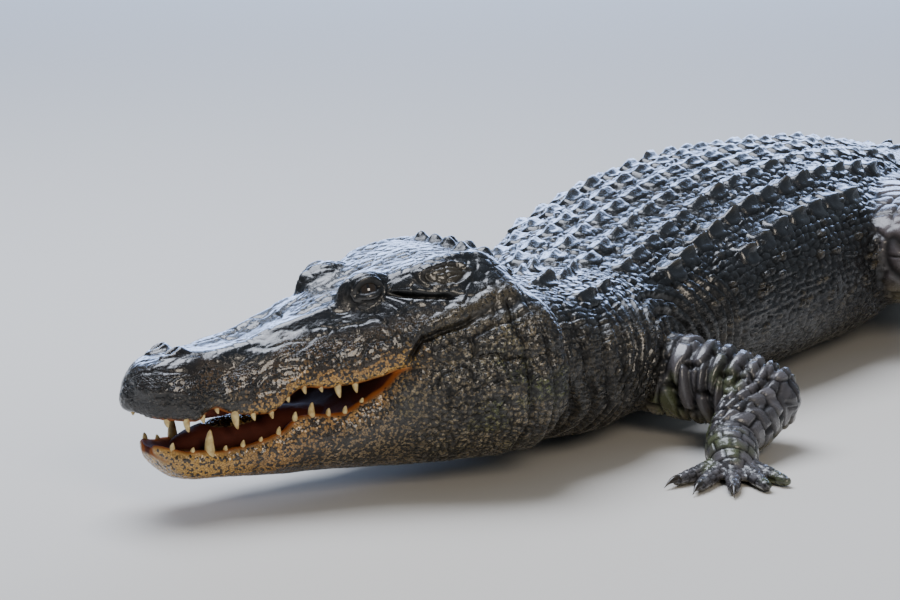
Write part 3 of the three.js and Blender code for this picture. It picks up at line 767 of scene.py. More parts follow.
def ears(m):
    back, height, head = m["back"], m["height"], m["head"]
    slit = bell(height, .110 - (back - .345) * .14, .0032)
    slit = head * slit * step(.322, .336, back) * (1 - step(.385, .412, back))
    oval = earFlap(m)
    outer = head * (m["hand"] > .07)
    move = outer * (bell(oval, 0.95, 0.10) * earLook["rim"] - bell(oval, 0.70, 0.09) * earLook["moat"])
    move += outer * bell(oval, 0, 0.55) * earLook["bulge"] - slit * (m["hand"] > .06) * earLook["slit"]
    # painted shade in the slit and in the moat and outer edge round the flap
    return move, slit * 0.9 + outer * (bell(oval, 0.72, 0.08) + bell(oval, 1.18, 0.07)) * 0.4


# Nostrils: a pit in each mound, with a rim
nostrilLook = dict(place=(.049, .021), size=(.0085, .0055), deep=.010, rim=.0022)


def nostrils(m):
    move, seamsAndShade = 0 * m["back"], 0 * m["back"]
    (back, side), (long, wide) = nostrilLook["place"], nostrilLook["size"]
    for way in (-1, 1):
        pit = np.hypot((m["back"] - back) / long, (m["left"] - way * side) / wide)
        hole = m["head"] * (1 - step(.55, 1.05, pit)) * (m["height"] > .060)
        move += m["head"] * bell(pit, 1.5, .45) * (m["height"] > .065) * nostrilLook["rim"]
        move -= hole * nostrilLook["deep"]
        # the pit is painted dark as shade
        seamsAndShade += hole * 0.95
    return move, seamsAndShade


# Knobs across the back of the skull: how far off the middle they stand in each row
knobLook = dict(
    start=.452, pitch=.027, rows=[[.016, .050], [.022, .060], [.034, .066]], radius=.0135, rise=.0095,
)


def skullKnobs(m):
    move, seamsAndShade = 0 * m["back"], 0 * m["back"]
    radius = knobLook["radius"]
    for i, row in enumerate(knobLook["rows"]):
        for side in row:
            far = np.hypot(m["back"] - knobLook["start"] - i * knobLook["pitch"], m["hand"] - side)
            crownOnly = m["head"] * (m["height"] > .10)
            dome = step(0, 1, 1 - far / radius) ** 0.8
            move += crownOnly * dome * knobLook["rise"]
            # painted shade in a ring round each knob's base, and the knob a little darker
            seamsAndShade += crownOnly * (bell(far, radius * 0.95, .0024) * 0.6 + dome * 0.25)
    return move, seamsAndShade


def mouthGrain(m):
    return m["inner"] * noise(m["headPoints"], .012, 29) * .0009, 0 * m["back"]


# Relief of the trunk and the tail: scales, smaller on the flank, and rings of square scales on the tail
def bodyScales(m, look):
    station, arc, angle, body = m["station"], m["arc"], np.abs(m["angle"]), m["body"]
    slant = np.stack([station + arc * 0.22, arc * 1.1 - station * 0.08], -1)
    lower = step(1.35, 1.75, noise(slant, .07, 33) * 0.35 + angle)
    large, largeNames = patternWhere(body, plates, slant, look["flankScale"], 9, 0.75, 0.32)
    small, smallNames = patternWhere(body * lower, plates, slant, look["flankScale"] * 0.80, 10, 0.8, 0.34)
    scales = large * (1 - lower) + small * lower
    name = np.where(lower > 0.5, smallNames, largeNames)
    m["bodyName"] = name
    tail = step(1.15, 1.30, station)
    ringWidth = np.interp(station, [1.2, 3.0], [.029, .019])
    ringTall = np.interp(station, [1.2, 3.0], [.032, .012])
    rings = bricks((station - tailParts[0]) / ringWidth, arc / ringTall, 11)[0]
    height = scales * (1 - tail) + rings * tail
    upright = creases(np.stack([station * 1.9, arc * 0.4], -1), .024, 34, 0.16) * (1 - tail)
    move = body * (height - 0.7) * look["flankRelief"] * (0.55 + 0.85 * name * (1 - tail))
    move -= body * upright * .0016
    knob = body * (1 - tail) * (name > 0.78) * np.clip(scales - 0.6, 0, 1) * 2.5
    move += knob * bell(angle, 1.0, 0.5) * look["flankKnob"]
    # dark joints between scales, and painted shade in the upright creases
    return move, body * ((1 - height) * 0.85 + upright * 0.35)


# Folds of the neck, and the rings of folds round each shoulder
foldLook = dict(
    neckPitch=.024, neckShare=1.2, shoulder=(-.415, .190, .075), shoulderPitch=.018, shoulderShare=1.35,
)


def bodyRelief(m, look):
    move, seamsAndShade = bodyScales(m, look)
    station, arc, angle = m["station"], m["arc"], np.abs(m["angle"])
    neck = m["body"] * step(-.05, .0, station) * (1 - step(.26, .38, station)) * step(0.5, 1.1, angle)
    wave = noise(np.stack([station * 0.7, arc * 0.35], -1), .05, 31)
    fold = np.sin((station + wave * .016) * 2 * math.pi / foldLook["neckPitch"])
    deep = look["foldDepth"] * foldLook["neckShare"]
    move = move * (1 - 0.5 * neck) - neck * np.maximum(0.35 - fold, 0) ** 1.5 * deep
    # painted shade in the troughs of the neck folds
    seamsAndShade += neck * step(0.35, 1, -fold) * 0.6
    deep = look["foldDepth"] * foldLook["shoulderShare"]
    x, side, z = foldLook["shoulder"]
    for way in (-1, 1):
        far = np.linalg.norm((m["points"] - [x, -way * side, z]) * [1, 1, .85], axis=1)
        ring = np.sin((far + wave * .008) * 2 * math.pi / foldLook["shoulderPitch"])
        zone = step(.055, .075, far) * (1 - step(.16, .22, far)) * (1 - m["head"])
        zone = zone * (m["across"] * way > 0) * step(0.60, 0.95, angle)
        move = move * (1 - 0.7 * zone) - zone * np.maximum(0.3 - ring, 0) ** 1.4 * deep
        # painted shade in the troughs of the shoulder folds
        seamsAndShade += zone * step(0.35, 1, -ring) * 0.6
    return move, seamsAndShade


# Relief of the legs: scales at the root, bands of plates along them, and round plates at elbow and knee
def legRelief(m, look):
    along, turn, which, leg = m["along"], m["turn"], m["which"], m["leg"]
    rear = which > 1
    upperRows, lowerRows = np.where(rear, 7.5, 9.0), np.where(rear, 8.0, 5.5)
    rows = np.where(along < 1, upperRows, np.where(along < 2, lowerRows, 4.5))
    waver = noise(m["points"], .035, 35) * 0.30
    band, bandName = bricks(along * rows + waver, turn * np.where(along < 2, 0.8, 1.3) + which, 13, 0.15)
    knobs = patternWhere(leg, plates, m["points"], look["limbScale"], 15, 0.8, 0.3)[0]
    bend = step(0.78, 0.92, along) * (1 - step(1.12, 1.26, along))
    flat = m["points"] * [1, 1, .8]
    patches, patchName = patternWhere(leg * bend, plates, flat, look["bendScale"], 16, 0.55, 0.20)
    band = band * (1 - bend) + patches * bend
    root = 1 - step(0.10, 0.38, along + 0.15 * rear)
    height = knobs * root + band * (1 - root)
    depth = look["bandRelief"] * (1 - root) + look["flankRelief"] * root
    m["bandName"], m["limb"] = np.where(bend > 0.5, patchName, bandName), 1 - root
    return leg * (height - 0.6) * depth * np.where(along > 2, 0.45, 1), leg * (1 - height) * 0.9


def relief(m, look):
    parts = [part(m, look) for part in (headScales, bodyRelief, legRelief)]
    parts += [part(m) for part in (headForms, mouthCornerFolds, foldsBehindJaw, lipScallops, ears, nostrils,
                                   skullKnobs, mouthGrain)]
    moves, seamsAndShade = zip(*parts)
    lumps = noise(m["points"], .07, 41) * .0025 + noise(m["points"], .025, 42) * .0010
    return sum(moves) + (1 - m["head"]) * lumps, sum(seamsAndShade)


# Thick lids, with painted shade in their creases and in the opening between them: rings about each eyeball,
# with their distance from its middle
lidRings = [0, .92, 1.08, 1.4, 1.9, 2.25, 2.8, 3.4, 4.2]
lidFar = [.0145, .0150, .0190, .0208, .0214, .0186, .0216, .0204, .0190]
lidLook = dict(halfLong=.0140, upper=.0056, lower=.0068, overhang=.0028, bow=9, sink=.0012)


def eyeWay(side):
    outward = unit(headLeft * side * 0.86 + headUp * 0.42 + nose * 0.30)
    along = unit(nose - outward * (nose @ outward))
    over = np.cross(outward, along)
    return outward, along, over * np.sign(over @ headUp)


def eyeSockets(points, seamsAndShade):
    for way in (-1, 1):
        centre = headPoint(eyePlace[0], way * eyePlace[1], eyePlace[2])
        outward, alongEye, overEye = eyeWay(way)
        d = points - centre
        far = np.maximum(np.linalg.norm(d, axis=1), 1e-6)
        x, y, out = d @ alongEye, d @ overEye, d @ outward
        y = y + x * x * lidLook["bow"] - lidLook["sink"]
        ring = np.hypot(x / lidLook["halfLong"], y / np.where(y > 0, lidLook["upper"], lidLook["lower"]))
        wanted = np.interp(ring, lidRings, lidFar)
        wanted = wanted + lidLook["overhang"] * step(-.002, .006, y) * step(0.95, 1.2, ring)
        share = (1 - step(3.2, 4.6, ring)) * step(.1, .35, out / far) * (far < .05)
        share = np.where(ring < 2.0, (out > 0) * (far < .045), share)
        target = np.where(ring < 1.5, wanted, np.maximum(wanted, np.minimum(far, wanted + .004)))
        points = points + d * ((target / far - 1) * share)[:, None]
        # painted shade in the creases round the lids and in the opening
        seamsAndShade += share * (bell(ring, 2.3, .24) + bell(ring, 1.02, .16) + 0.6 * bell(ring, 3.1, .2)) * 0.9
        seamsAndShade += share * (ring < 0.95)
    return points, seamsAndShade


# Colours, laid one over the other in this order
def bodyColours(m, look):
    angle = np.abs(m["angle"])
    tone = np.tile(srgb(look["back"]), (len(angle), 1))
    tone = mix(tone, srgb(look["flank"]), m["body"] * step(0.7, 1.3, angle))
    tone = mix(tone, srgb(look["flank"]) * 0.6, m["body"] * step(1.3, 1.7, angle))
    tone = mix(tone, srgb(look["ridge"]), m["body"] * (m["bodyName"] > 0.86) * bell(angle, 1.45, 0.4) * 0.7)
    under = step(2.45, 2.85, angle + noise(m["shaped"], .03, 53) * .2)
    return mix(tone, srgb(look["belly"]), m["body"] * under)


def legColours(m, tone, look):
    tone = mix(tone, srgb(look["arm"]), m["fore"] * (0.35 + 0.65 * m["bandName"]))
    tone = mix(tone, srgb(look["thigh"]), m["hind"] * (0.45 + 0.55 * m["bandName"]))
    return mix(tone, srgb(look["belly"]) * 0.5, m["leg"] * step(0.3, 0.9, m["down"]))


# Shares of the head's colours: the specked veil over the lip, the rear of the jaw, the front and so on
def headZones(m):
    back, height, at, band = m["back"], m["height"], m["headPoints"], m["lipBand"]
    z = dict(front=1 - step(.05, .17, back))
    blotch = noise(at, .026, 55)
    z["side"] = m["top"] * (1 - step(.35, .75, m["crown"])) * (0.45 + 0.3 * noise(at, .018, 60))
    z["flap"] = m["head"] * (m["hand"] > .07) * (1 - step(0.6, 1.1, earFlap(m))) * 0.32
    z["neck"] = m["body"] * (1 - step(.10, .30, m["station"])) * step(0.9, 1.3, np.abs(m["angle"]))
    rear = step(.14, .26, back + blotch * .02) * step(.008, .024, band)
    z["rearJaw"] = m["jawZone"] * rear
    z["lip"] = m["lipZone"] * step(.09, .17, back) * (0.75 + 0.25 * blotch)
    z["jaw"] = m["jawZone"] * (0.80 + 0.20 * blotch) * (1 - 0.35 * step(.025, .055, band))
    z["jaw"] = z["jaw"] * (1 - 0.72 * rear)
    z["jowl"] = m["jowl"] * (0.45 + 0.5 * m["jowlName"]) * (1 - 0.55 * step(.42, .53, back))
    veil = m["head"] * m["dry"] * m["upper"] * (1 - step(.036, .070, band)) * (1 - step(.33, .38, back))
    z["veil"] = veil * (1 - m["lipZone"])
    z["bare"] = m["jowl"] * bell(back, .405, .035) * bell(height, .022, .022)
    z["bare"] = z["bare"] * step(-.3, .4, noise(at, .014, 59))
    z["corner"] = m["head"] * bell(back, .330, .012) * bell(height, .034, .010)
    z["snout"] = m["head"] * m["dry"] * m["upper"] * (1 - step(.03, .10, back))
    return z


def headColours(m, z, tone, look):
    tone = mix(tone, srgb(look["side"]), z["side"])
    tone = mix(tone, srgb(look["ridge"]), z["flap"])
    tone = mix(tone, srgb(look["jowl"]) * 0.45, z["neck"] * 0.45)
    tone = mix(tone, srgb(look["tan"]), z["veil"] * 0.17)
    tone = mix(tone, srgb(look["jowl"]), np.clip(z["jowl"] + m["lipZone"] * 0.35 + z["rearJaw"] * 0.55, 0, 1))
    tone = mix(tone, srgb(look["bare"]), z["bare"] * 0.55)
    tone = mix(tone, srgb(look["ridge"]), m["ridge"] * 0.8)
    tone = mix(tone, srgb(look["tan"]), np.clip(z["lip"] + z["jaw"], 0, 1))
    yellow = np.clip(z["lip"] * (1 - step(.004, .018, m["lipBand"])) + z["jaw"] * z["front"], 0, 1)
    tone = mix(tone, srgb(look["lipYellow"]), yellow * 0.75)
    tone = mix(tone, srgb(look["lipYellow"]), z["corner"] * 0.8)
    return mix(tone, srgb(look["snout"]), z["snout"] * 0.9)


def wetColours(m, z, tone, seamsAndShade, look):
    points, height = m["shaped"], m["height"]
    green = step(0.05, 0.6, noise(points, .045, 57) + 0.5 * noise(points, .016, 58))
    low = m["jowl"] * bell(height, -.03, .07) * 0.7 + z["rearJaw"] * bell(height, -.075, .035) * 0.6
    algae = (low + m["fore"] * 0.45 + m["muscle"] * 0.3) * green
    tone = mix(tone, srgb(look["algae"]), np.clip(algae, 0, 0.8))
    # dark joints between scales, and painted shade in creases, folds, grooves, pits and round the eyes
    tone = mix(tone, srgb(look["seam"]), np.clip(seamsAndShade, 0, 0.9))
    tone = mix(tone, srgb(look["gum"]), m["inner"] * (1 - step(.010, .020, m["edge"])) * 0.9)
    tone = mix(tone, srgb(look["mouth"]), m["inner"] * step(.008, .018, m["edge"]))
    return np.clip(tone * (1 + noise(points, .05, 51) * 0.14 + noise(points, .012, 52) * 0.12)[:, None], 0, 1)


# Share of small dark scales in the mosaic
def specks(m, z):
    back, lip = m["back"], m["lipZone"]
    share = lip * (0.36 - 0.08 * step(.16, .24, back)) + m["jawZone"] * (0.30 + 0.26 * step(.10, .25, back))
    share = share + lip * (0.34 * step(.006, .028, m["lipBand"]) + 0.35 * (1 - step(.09, .17, back)))
    share = share + z["veil"] * 0.70 + z["neck"] * 0.25 + m["jowl"] * 0.58 + m["ridge"] * 0.2
    share = share + m["body"] * 0.26 * step(0.9, 1.3, np.abs(m["angle"]))
    return np.clip(share - 0.08 * z["front"], 0, 0.8) * m["dry"] * (1 - m["inner"])


# Softens the steps of the remesh, and more where two forms meet: nape, brows, nostrils, snout tip,
# jaw line and the roots of the legs
def softened(skin):
    points = relax(skin.data, meshPoints(skin.data), np.full(len(skin.data.vertices), 0.5), 2)
    back, left, height = headMeasures(points)
    soft = bell(back, .535, .050) * (height > .02) + bell(back, .31, .07) * (height > .07) * 0.6
    soft = soft + bell(back, .056, .04) * (height > .045) * 0.5 + bell(back, .0, .02) * 0.8
    soft = soft + bell(height, .020, .014) * step(mouthCorner + .008, .36, back) * (np.abs(left) > .05)
    points = relax(skin.data, points, np.clip(soft, 0, 0.7), 24)
    m = measureSkin(points, np.zeros_like(points))
    legRoot = bell(m["fill"], 1.04, .10) * (np.abs(m["off"]) < .03) * (1 - m["head"])
    return relax(skin.data, points, legRoot * 0.7, 24)


def sculpt(skin):
    points = softened(skin)
    movePoints(skin.data, points)
    normals = meshNormals(skin.data)
    m = measureSkin(points, normals)
    print("skin measured")
    move, seamsAndShade = relief(m, skinLook)
    points = points + normals * (move * step(0, .010, points[:, 2]))[:, None]
    points, seamsAndShade = eyeSockets(points, seamsAndShade)
    points[:, 2] = np.maximum(points[:, 2], 0)
    movePoints(skin.data, points)
    m["shaped"] = points
    m["fore"], m["hind"] = (m["leg"] * m["limb"] * pair for pair in (m["which"] < 2, m["which"] > 1))
    z = headZones(m)
    tone = legColours(m, bodyColours(m, skinLook), skinLook)
    tone = wetColours(m, z, headColours(m, z, tone, skinLook), seamsAndShade, skinLook)
    rough = np.clip(seamsAndShade, 0, 1) * 0.3 + m["inner"] * 0.5 + m["leg"] * 0.08
    paint(skin, tone, speck=specks(m, z), rough=rough)


# Colour and further values kept on the points of a mesh
def paint(piece, tone, **values):
    colours = piece.data.color_attributes.new("tone", "FLOAT_COLOR", "POINT")
    colours.data.foreach_set("color", np.c_[tone, np.ones(len(tone))].astype(np.float32).ravel())
    for name, amounts in values.items():
        attribute = piece.data.attributes.new(name, "FLOAT", "POINT")
        attribute.data.foreach_set("value", np.asarray(amounts, np.float32))


sculpt(skin)
print("skin sculpted")


# Small helpers for the nodes of the finishes
def newMaterial(name):
    material = bpy.data.materials.new(name)
    material.use_nodes = True
    return material, material.node_tree.nodes["Principled BSDF"]


def plug(value, socket):
    if isinstance(value, bpy.types.NodeSocket):
        socket.id_data.links.new(value, socket)
    else:
        socket.default_value = value


def addNode(material, kind, inputs, **settings):
    node = material.node_tree.nodes.new("ShaderNode" + kind)
    for name, value in settings.items():
        setattr(node, name, value)
    for name, value in inputs.items():
        plug(value, node.inputs[name])
    return node.outputs


# Finish of wet skin: colour from the points, a mosaic of small dark scales, fine grain and a wet coat
skinFinish = dict(
    roughness=0.17, roughSpread=0.20, coat=0.65, coatRough=0.06, specular=0.5, dullSpecular=0.06,
    scaleSize=.0034, seamWidth=0.12, wander=.0022, wanderScale=210, cover=0.93, under=(0.60, 0.55, 0.50, 1),
    grain=.0008, bump=0.8, grainScale=300, poreScale=950,
)


def wetSkin(name):
    look = skinFinish
    material, shader = newMaterial(name)

    def calculate(operation, first, second):
        return addNode(material, "Math", {0: first, 1: second}, operation=operation)["Value"]

    def spread(value, low, high):
        return addNode(material, "MapRange", {"Value": value, "From Min": low, "From Max": high})["Result"]

    def pointValue(attribute, output):
        return addNode(material, "Attribute", {}, attribute_name=attribute)[output]

    # the mosaic: its small scales are wandering cells, each with its own chance of being dark
    where = addNode(material, "TexCoord", {})["Object"]
    drift = addNode(material, "TexNoise", {"Vector": where, "Scale": look["wanderScale"]})["Color"]
    drifted = {0: drift, 1: [look["wander"]] * 3, 2: where}
    wandering = addNode(material, "VectorMath", drifted, operation="MULTIPLY_ADD")["Vector"]
    mosaic = {"Vector": wandering, "Scale": 1 / look["scaleSize"]}
    edge = addNode(material, "TexVoronoi", mosaic, feature="DISTANCE_TO_EDGE")["Distance"]
    number = addNode(material, "TexVoronoi", mosaic, feature="F1")["Color"]
    chance = addNode(material, "SeparateColor", {"Color": number})

    # colour: the skin's own, shaded scale by scale, with dark scales and seams over it
    share = pointValue("speck", "Fac")
    dark = calculate("LESS_THAN", chance["Red"], share)
    seamShare = calculate("MINIMUM", calculate("MULTIPLY", share, 3), 0.8)
    seam = calculate("MULTIPLY", spread(edge, look["seamWidth"], 0.02), seamShare)
    covered = calculate("MAXIMUM", calculate("MULTIPLY", dark, look["cover"]), seam)
    shadeShare = calculate("MINIMUM", calculate("MULTIPLY", share, 2), 0.6)
    shadeShare = calculate("MULTIPLY", chance["Green"], shadeShare)
    shaded = {"Factor": shadeShare, "A": pointValue("tone", "Color"), "B": look["under"]}
    shaded = addNode(material, "Mix", shaded, data_type="RGBA", blend_type="MULTIPLY")["Result"]
    specked = {"Factor": covered, "A": shaded, "B": (*srgb(skinLook["speck"]), 1)}
    plug(addNode(material, "Mix", specked, data_type="RGBA")["Result"], shader.inputs["Base Color"])

    # surface: grain, pores and the edges of the small scales, under a wet coat that thins in the seams
    rough = pointValue("rough", "Fac")
    grain = addNode(material, "TexNoise", {"Vector": where, "Scale": look["grainScale"], "Detail": 4})["Fac"]
    pores = addNode(material, "TexNoise", {"Vector": where, "Scale": look["poreScale"], "Detail": 2})["Fac"]
    varied = calculate("MULTIPLY", grain, look["roughSpread"])
    varied = calculate("ADD", varied, look["roughness"] - look["roughSpread"] / 2)
    plug(calculate("ADD", varied, rough), shader.inputs["Roughness"])
    scaleShare = calculate("ADD", calculate("MULTIPLY", share, 2), 0.10)
    scales = calculate("MULTIPLY", spread(edge, 0.0, 0.22), calculate("MINIMUM", scaleShare, 0.8))
    grainy = calculate("ADD", calculate("MULTIPLY", grain, 0.9), calculate("MULTIPLY", pores, 0.25))
    bump = {"Strength": look["bump"], "Distance": look["grain"], "Height": calculate("ADD", grainy, scales)}
    plug(addNode(material, "Bump", bump)["Normal"], shader.inputs["Normal"])
    coat = calculate("ADD", calculate("MULTIPLY", rough, -1.4), look["coat"])
    plug(calculate("MAXIMUM", coat, 0), shader.inputs["Coat Weight"])
    plug(look["coatRough"], shader.inputs["Coat Roughness"])
    specular = calculate("ADD", calculate("MULTIPLY", rough, -0.9), look["specular"])
    plug(calculate("MAXIMUM", specular, look["dullSpecular"]), shader.inputs["Specular IOR Level"])
    return material


skin.data.materials.append(wetSkin("skin_dark"))
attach(skin, "root")
fleshNodes = ["head", "lower_jaw", "neck", "torso", "tail_base", "tail_middle", "tail_rear", "tail_tip"]
fleshNodes += [f"{pair}_{side}_{part}" for pair in ("fore", "hind") for side in ("left", "right")
               for part in ("upper", "lower", "foot")]
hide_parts(*fleshNodes)


# Scutes: keeled plates laid on the back, as in the solids but finer
scuteLook = dict(
    plate="191b1e", keel="3a3427", seam="060606",
    nuchal=[dict(start=.118, pitch=.056, sides=[[.030, .084], [.029, .080], [.026]], width=.046, rise=.017)],
    backStart=.322, backPitch=.055, aSide=[2, 3, 3, 3, 4, 4, 4, 4, 4, 4, 4, 3, 3, 3, 2, 2, 2], width=.051,
    rises=[.0075, .0085, .0125, .0105],
    tailEnd=2.980, pitch=.058, endPitch=.038, crest=.021, single=.044, root=.018, flat=.008,
)


def vary(seed, amount):
    return 1 + amount * math.sin(seed * 12.9898)


# Each plate: station, place across, length, width, height of its keel, and 1 where it is an upright blade
def nuchalPlates(look):
    for group in look["nuchal"]:
        for i, row in enumerate(group["sides"]):
            for k, across in enumerate(row):
                size = vary(i * 7 + k * 3 + group["start"] * 1000, 0.08) * (1 if k == 0 else 0.8)
                width = group["width"] * size
                station = group["start"] + i * group["pitch"] + k * .008
                for side in (-1, 1):
                    yield station, side * across, width, width * 0.9, group["rise"] * size, 0


def backPlates(look):
    pitch, width = look["backPitch"], look["width"]
    for row, many in enumerate(look["aSide"]):
        for k in range(many):
            for side in (-1, 1):
                rise = look["rises"][k] * vary(row * 5.3 + k * 2.1 + side, 0.06)
                across = side * (k + 0.5) * width * 0.98
                yield look["backStart"] + row * pitch, across, pitch * 0.90, width * 0.84, rise, 0


def tailPlates(look):
    first, join = tailParts[0], tailParts[2]
    for start, end in zip(tailParts, tailParts[1:]):
        middle = ((start + end) / 2 - first) / (look["tailEnd"] - first)
        many = round((end - start) / (look["pitch"] + (look["endPitch"] - look["pitch"]) * middle))
        pitch = (min(end, look["tailEnd"]) - start) / many
        for i in range(many):
            station = start + (i + 0.5) * pitch
            wide = float(bodyAt(station)[0])
            if station > join:
                size = 0.45 + 0.55 * (look["tailEnd"] - station) / (look["tailEnd"] - join)
                yield station, 0, pitch * 0.95, look["root"] * size, look["single"] * size, 1
                continue
            apart = (join - station) / (join - first)
            tall = look["crest"] * float(0.45 + 0.55 * step(1.22, 1.55, station)) + (1 - apart) * .014
            for side in (-1, 1):
                yield station, side * wide * (0.24 + 0.4 * apart), pitch * 0.94, look["root"], tall, 1
                if apart > 0.5:
                    yield station, side * wide * 0.2, pitch * 0.86, wide * 0.32, look["flat"], 0


# Height of the keel on each plate: it climbs to the back, drops, and is sharp across
def keelHeight(x, y, blade, rise, number, rough):
    ramp = np.where(blade > 0, np.clip((x + 0.50) / 0.80, 0, 1), step(-0.60, 0.20, x))
    drop = 1 - np.clip((x - 0.30) / 0.17, 0, 1) ** 1.8
    half = np.where(blade > 0, 0.42, 0.17) + 0.10 * (0.5 - x)
    flare = np.clip(1 - np.sqrt((y + rough * 0.25) ** 2 + 0.0009) / half, 0, 1)
    sharp = np.where(blade > 0, 1.15, 1.10)
    wear = 1 + 0.20 * np.sin(number * 7.3) + 0.12 * np.sin(number * 3.1)
    return rise * wear * (0.20 + 0.80 * ramp) * drop * flare ** sharp


def gridFaces(many, rows, columns):
    i, j = np.meshgrid(np.arange(rows - 1), np.arange(columns - 1), indexing="ij")
    near, far = i * columns + j, (i + 1) * columns + j
    quads = np.stack([far, far + 1, near + 1, near], -1).reshape(1, -1, 4)
    return (quads + (np.arange(many) * rows * columns)[:, None, None]).reshape(-1, 4)


def scuteMesh():
    look = scuteLook
    plan = np.array([*nuchalPlates(look), *backPlates(look), *tailPlates(look)])
    station, across, length, width, rise, blade = (column[:, None, None] for column in plan.T)
    number = np.arange(len(plan))[:, None, None]
    x = np.linspace(-0.5, 0.5, 19)[None, :, None]
    y = np.linspace(-0.5, 0.5, 15)[None, None, :]
    x, y = x + 0 * (y + number), y + 0 * (x + number)
    halfWidth = bodyAt(station + 0 * x)[..., 0]
    station = station + x * length
    lateral = across + y * (1 - 0.12 * (0.5 - x) - 0.25 * np.abs(x) ** 3) * width
    beside = np.clip(np.abs(lateral) / halfWidth, 0, 0.999)
    angle = np.sign(lateral) * np.arcsin(beside ** (bodyFullness / 2))
    places = bodyPoint(station, angle)
    rearward = bodyPoint(station + .004, angle) - bodyPoint(station - .004, angle)
    around = bodyPoint(station, angle + .03) - bodyPoint(station, angle - .03)
    outward = unit(np.cross(around, rearward))
    outward = np.where((outward[..., 2:] < 0), -outward, outward)
    outward = unit(np.where(blade[..., None] > 0, outward * 0.35 + up * 0.65, outward))
    flatPoints = places.reshape(-1, 3)
    rough = noise(flatPoints, .012, 64).reshape(x.shape) * 0.10
    oval = (np.abs(2 * x) ** 2.8 + np.abs(2 * y) ** 2.8) ** (1 / 2.8) + rough * 0.5
    rim = step(0, 1, np.clip((1.04 - oval) / 0.26, 0, 1))
    keel = keelHeight(x, y, blade, rise, number, rough)
    rugged = (noise(flatPoints, .006, 61) * .0007 + noise(flatPoints, .014, 62) * .0010).reshape(keel.shape)
    height = -.0042 + rim * (.0062 + rugged + .0016 * np.clip(1 - oval, 0, 1)) + keel * rim
    swept = np.where(blade > 0, keel * 0.35, keel * 0.14)
    places = places + outward * height[..., None] + unit(rearward) * swept[..., None]
    piece = meshObject("scutes", places.reshape(-1, 3), gridFaces(*keel.shape).tolist())
    share = (keel / np.maximum(rise, .008)).reshape(-1)
    groove = (1 - rim).reshape(-1)
    tone = np.tile(srgb(look["plate"]), (len(share), 1))
    tone = mix(tone, srgb(look["keel"]), step(0.45, 0.95, share) * 0.8)
    tone = mix(tone, srgb(look["seam"]), groove * 0.9)
    tone = np.clip(tone * (1 + noise(flatPoints, .02, 63)[:, None] * 0.25), 0, 1)
    paint(piece, tone, speck=np.zeros(len(share)), rough=groove * 0.3)
    piece.data.materials.append(wetSkin("scute_skin"))
    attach(piece, "root")
    print("scutes:", len(plan))


scuteMesh()


# Plain finishes with a little variation
def plainFinish(name, look):
    material, shader = newMaterial(name)
    pattern = {"Vector": addNode(material, "TexCoord", {})["Object"], "Scale": look["grainScale"], "Detail": 4}
    pattern = addNode(material, "TexNoise", pattern)["Fac"]
    ramp = material.node_tree.nodes.new("ShaderNodeValToRGB")
    first, second = ramp.color_ramp.elements
    first.position, second.position = 0.35, 0.70
    first.color, second.color = (*srgb(look["colour"]), 1), (*srgb(look["stain"]), 1)
    plug(pattern, ramp.inputs["Fac"])
    plug(ramp.outputs["Color"], shader.inputs["Base Color"])
    bump = {"Strength": 0.5, "Distance": .0003, "Height": pattern}
    plug(addNode(material, "Bump", bump)["Normal"], shader.inputs["Normal"])
    plug(look["roughness"], shader.inputs["Roughness"])
    plug(look["coat"], shader.inputs["Coat Weight"])
    return material


# Teeth: blunt cones, a little curved, longer at the same places as in the solids
toothLook = dict(
    colour="d9c58a", stain="a58448", roughness=0.28, coat=0.3, grainScale=130, pitch=.022,
    upper=dict(start=.022, end=.285, length=.007,
               longer=[(.042, .012, .008), (.116, .012, .013), (.253, .018, .009)]),
    lower=dict(start=.031, end=.282, length=.006, longer=[(.076, .012, .019), (.205, .026, .008)]),
)


# One tooth: a swollen cone that leans back and out, down from the upper lip or up from the lower
def tooth(back, side, lip, lipUp, way, length):
    radius = .0024 + length * 0.19
    t = np.linspace(-0.35, 1, 15)
    past = np.clip(t, 0, 1)
    swollen = np.where(t < 0, 1.0, np.sqrt(np.clip(1 - past ** 2.1, 0, 1)) * (1 - 0.28 * t))
    angles = np.arange(16) / 16 * 2 * math.pi
    ring = (np.maximum(swollen, 0.02) * radius * 0.92)[:, None]
    lean = (past ** 2)[:, None]
    x = back + ring * np.cos(angles) + lean * length * 0.08
    y = side * (lip - .008 + lean * .002 + ring * np.sin(angles) * 0.9)
    z = lipUp + way * (t * length)[:, None] + 0 * x
    return tube(headPoint(x, y, z))


def teethMesh():
    pieces = []
    rows = ((toothLook["upper"], headAt, (5, 6), -1), (toothLook["lower"], jawAt, (1, 2), 1))
    for sizes, curve, columns, way in rows:
        many = int((sizes["end"] - sizes["start"]) / toothLook["pitch"])
        for i in range(many + 1):
            back = sizes["start"] + i * toothLook["pitch"]
            lip, lipUp = curve(back)[list(columns)]
            length = sizes["length"] + (-.0015 if i % 2 else .001)
            length += sum(more * math.exp(-((back - at) / wide) ** 2) for at, wide, more in sizes["longer"])
            pieces += [tooth(back, side, lip, lipUp, way, length) for side in (-1, 1)]
    points, faces = joined(pieces)
    piece = meshObject("teeth", points, faces)
    piece.data.materials.append(plainFinish("tooth", toothLook))
    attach(piece, "root")
    print("teeth:", len(pieces))


teethMesh()


# Eyes: an amber ball, darkened almost to black with painted shade, with an upright slit
eyeLook = dict(shadedIris="2a1d0b", rim="0b0806", pupil="010101", roughness=0.04, coat=1.0)


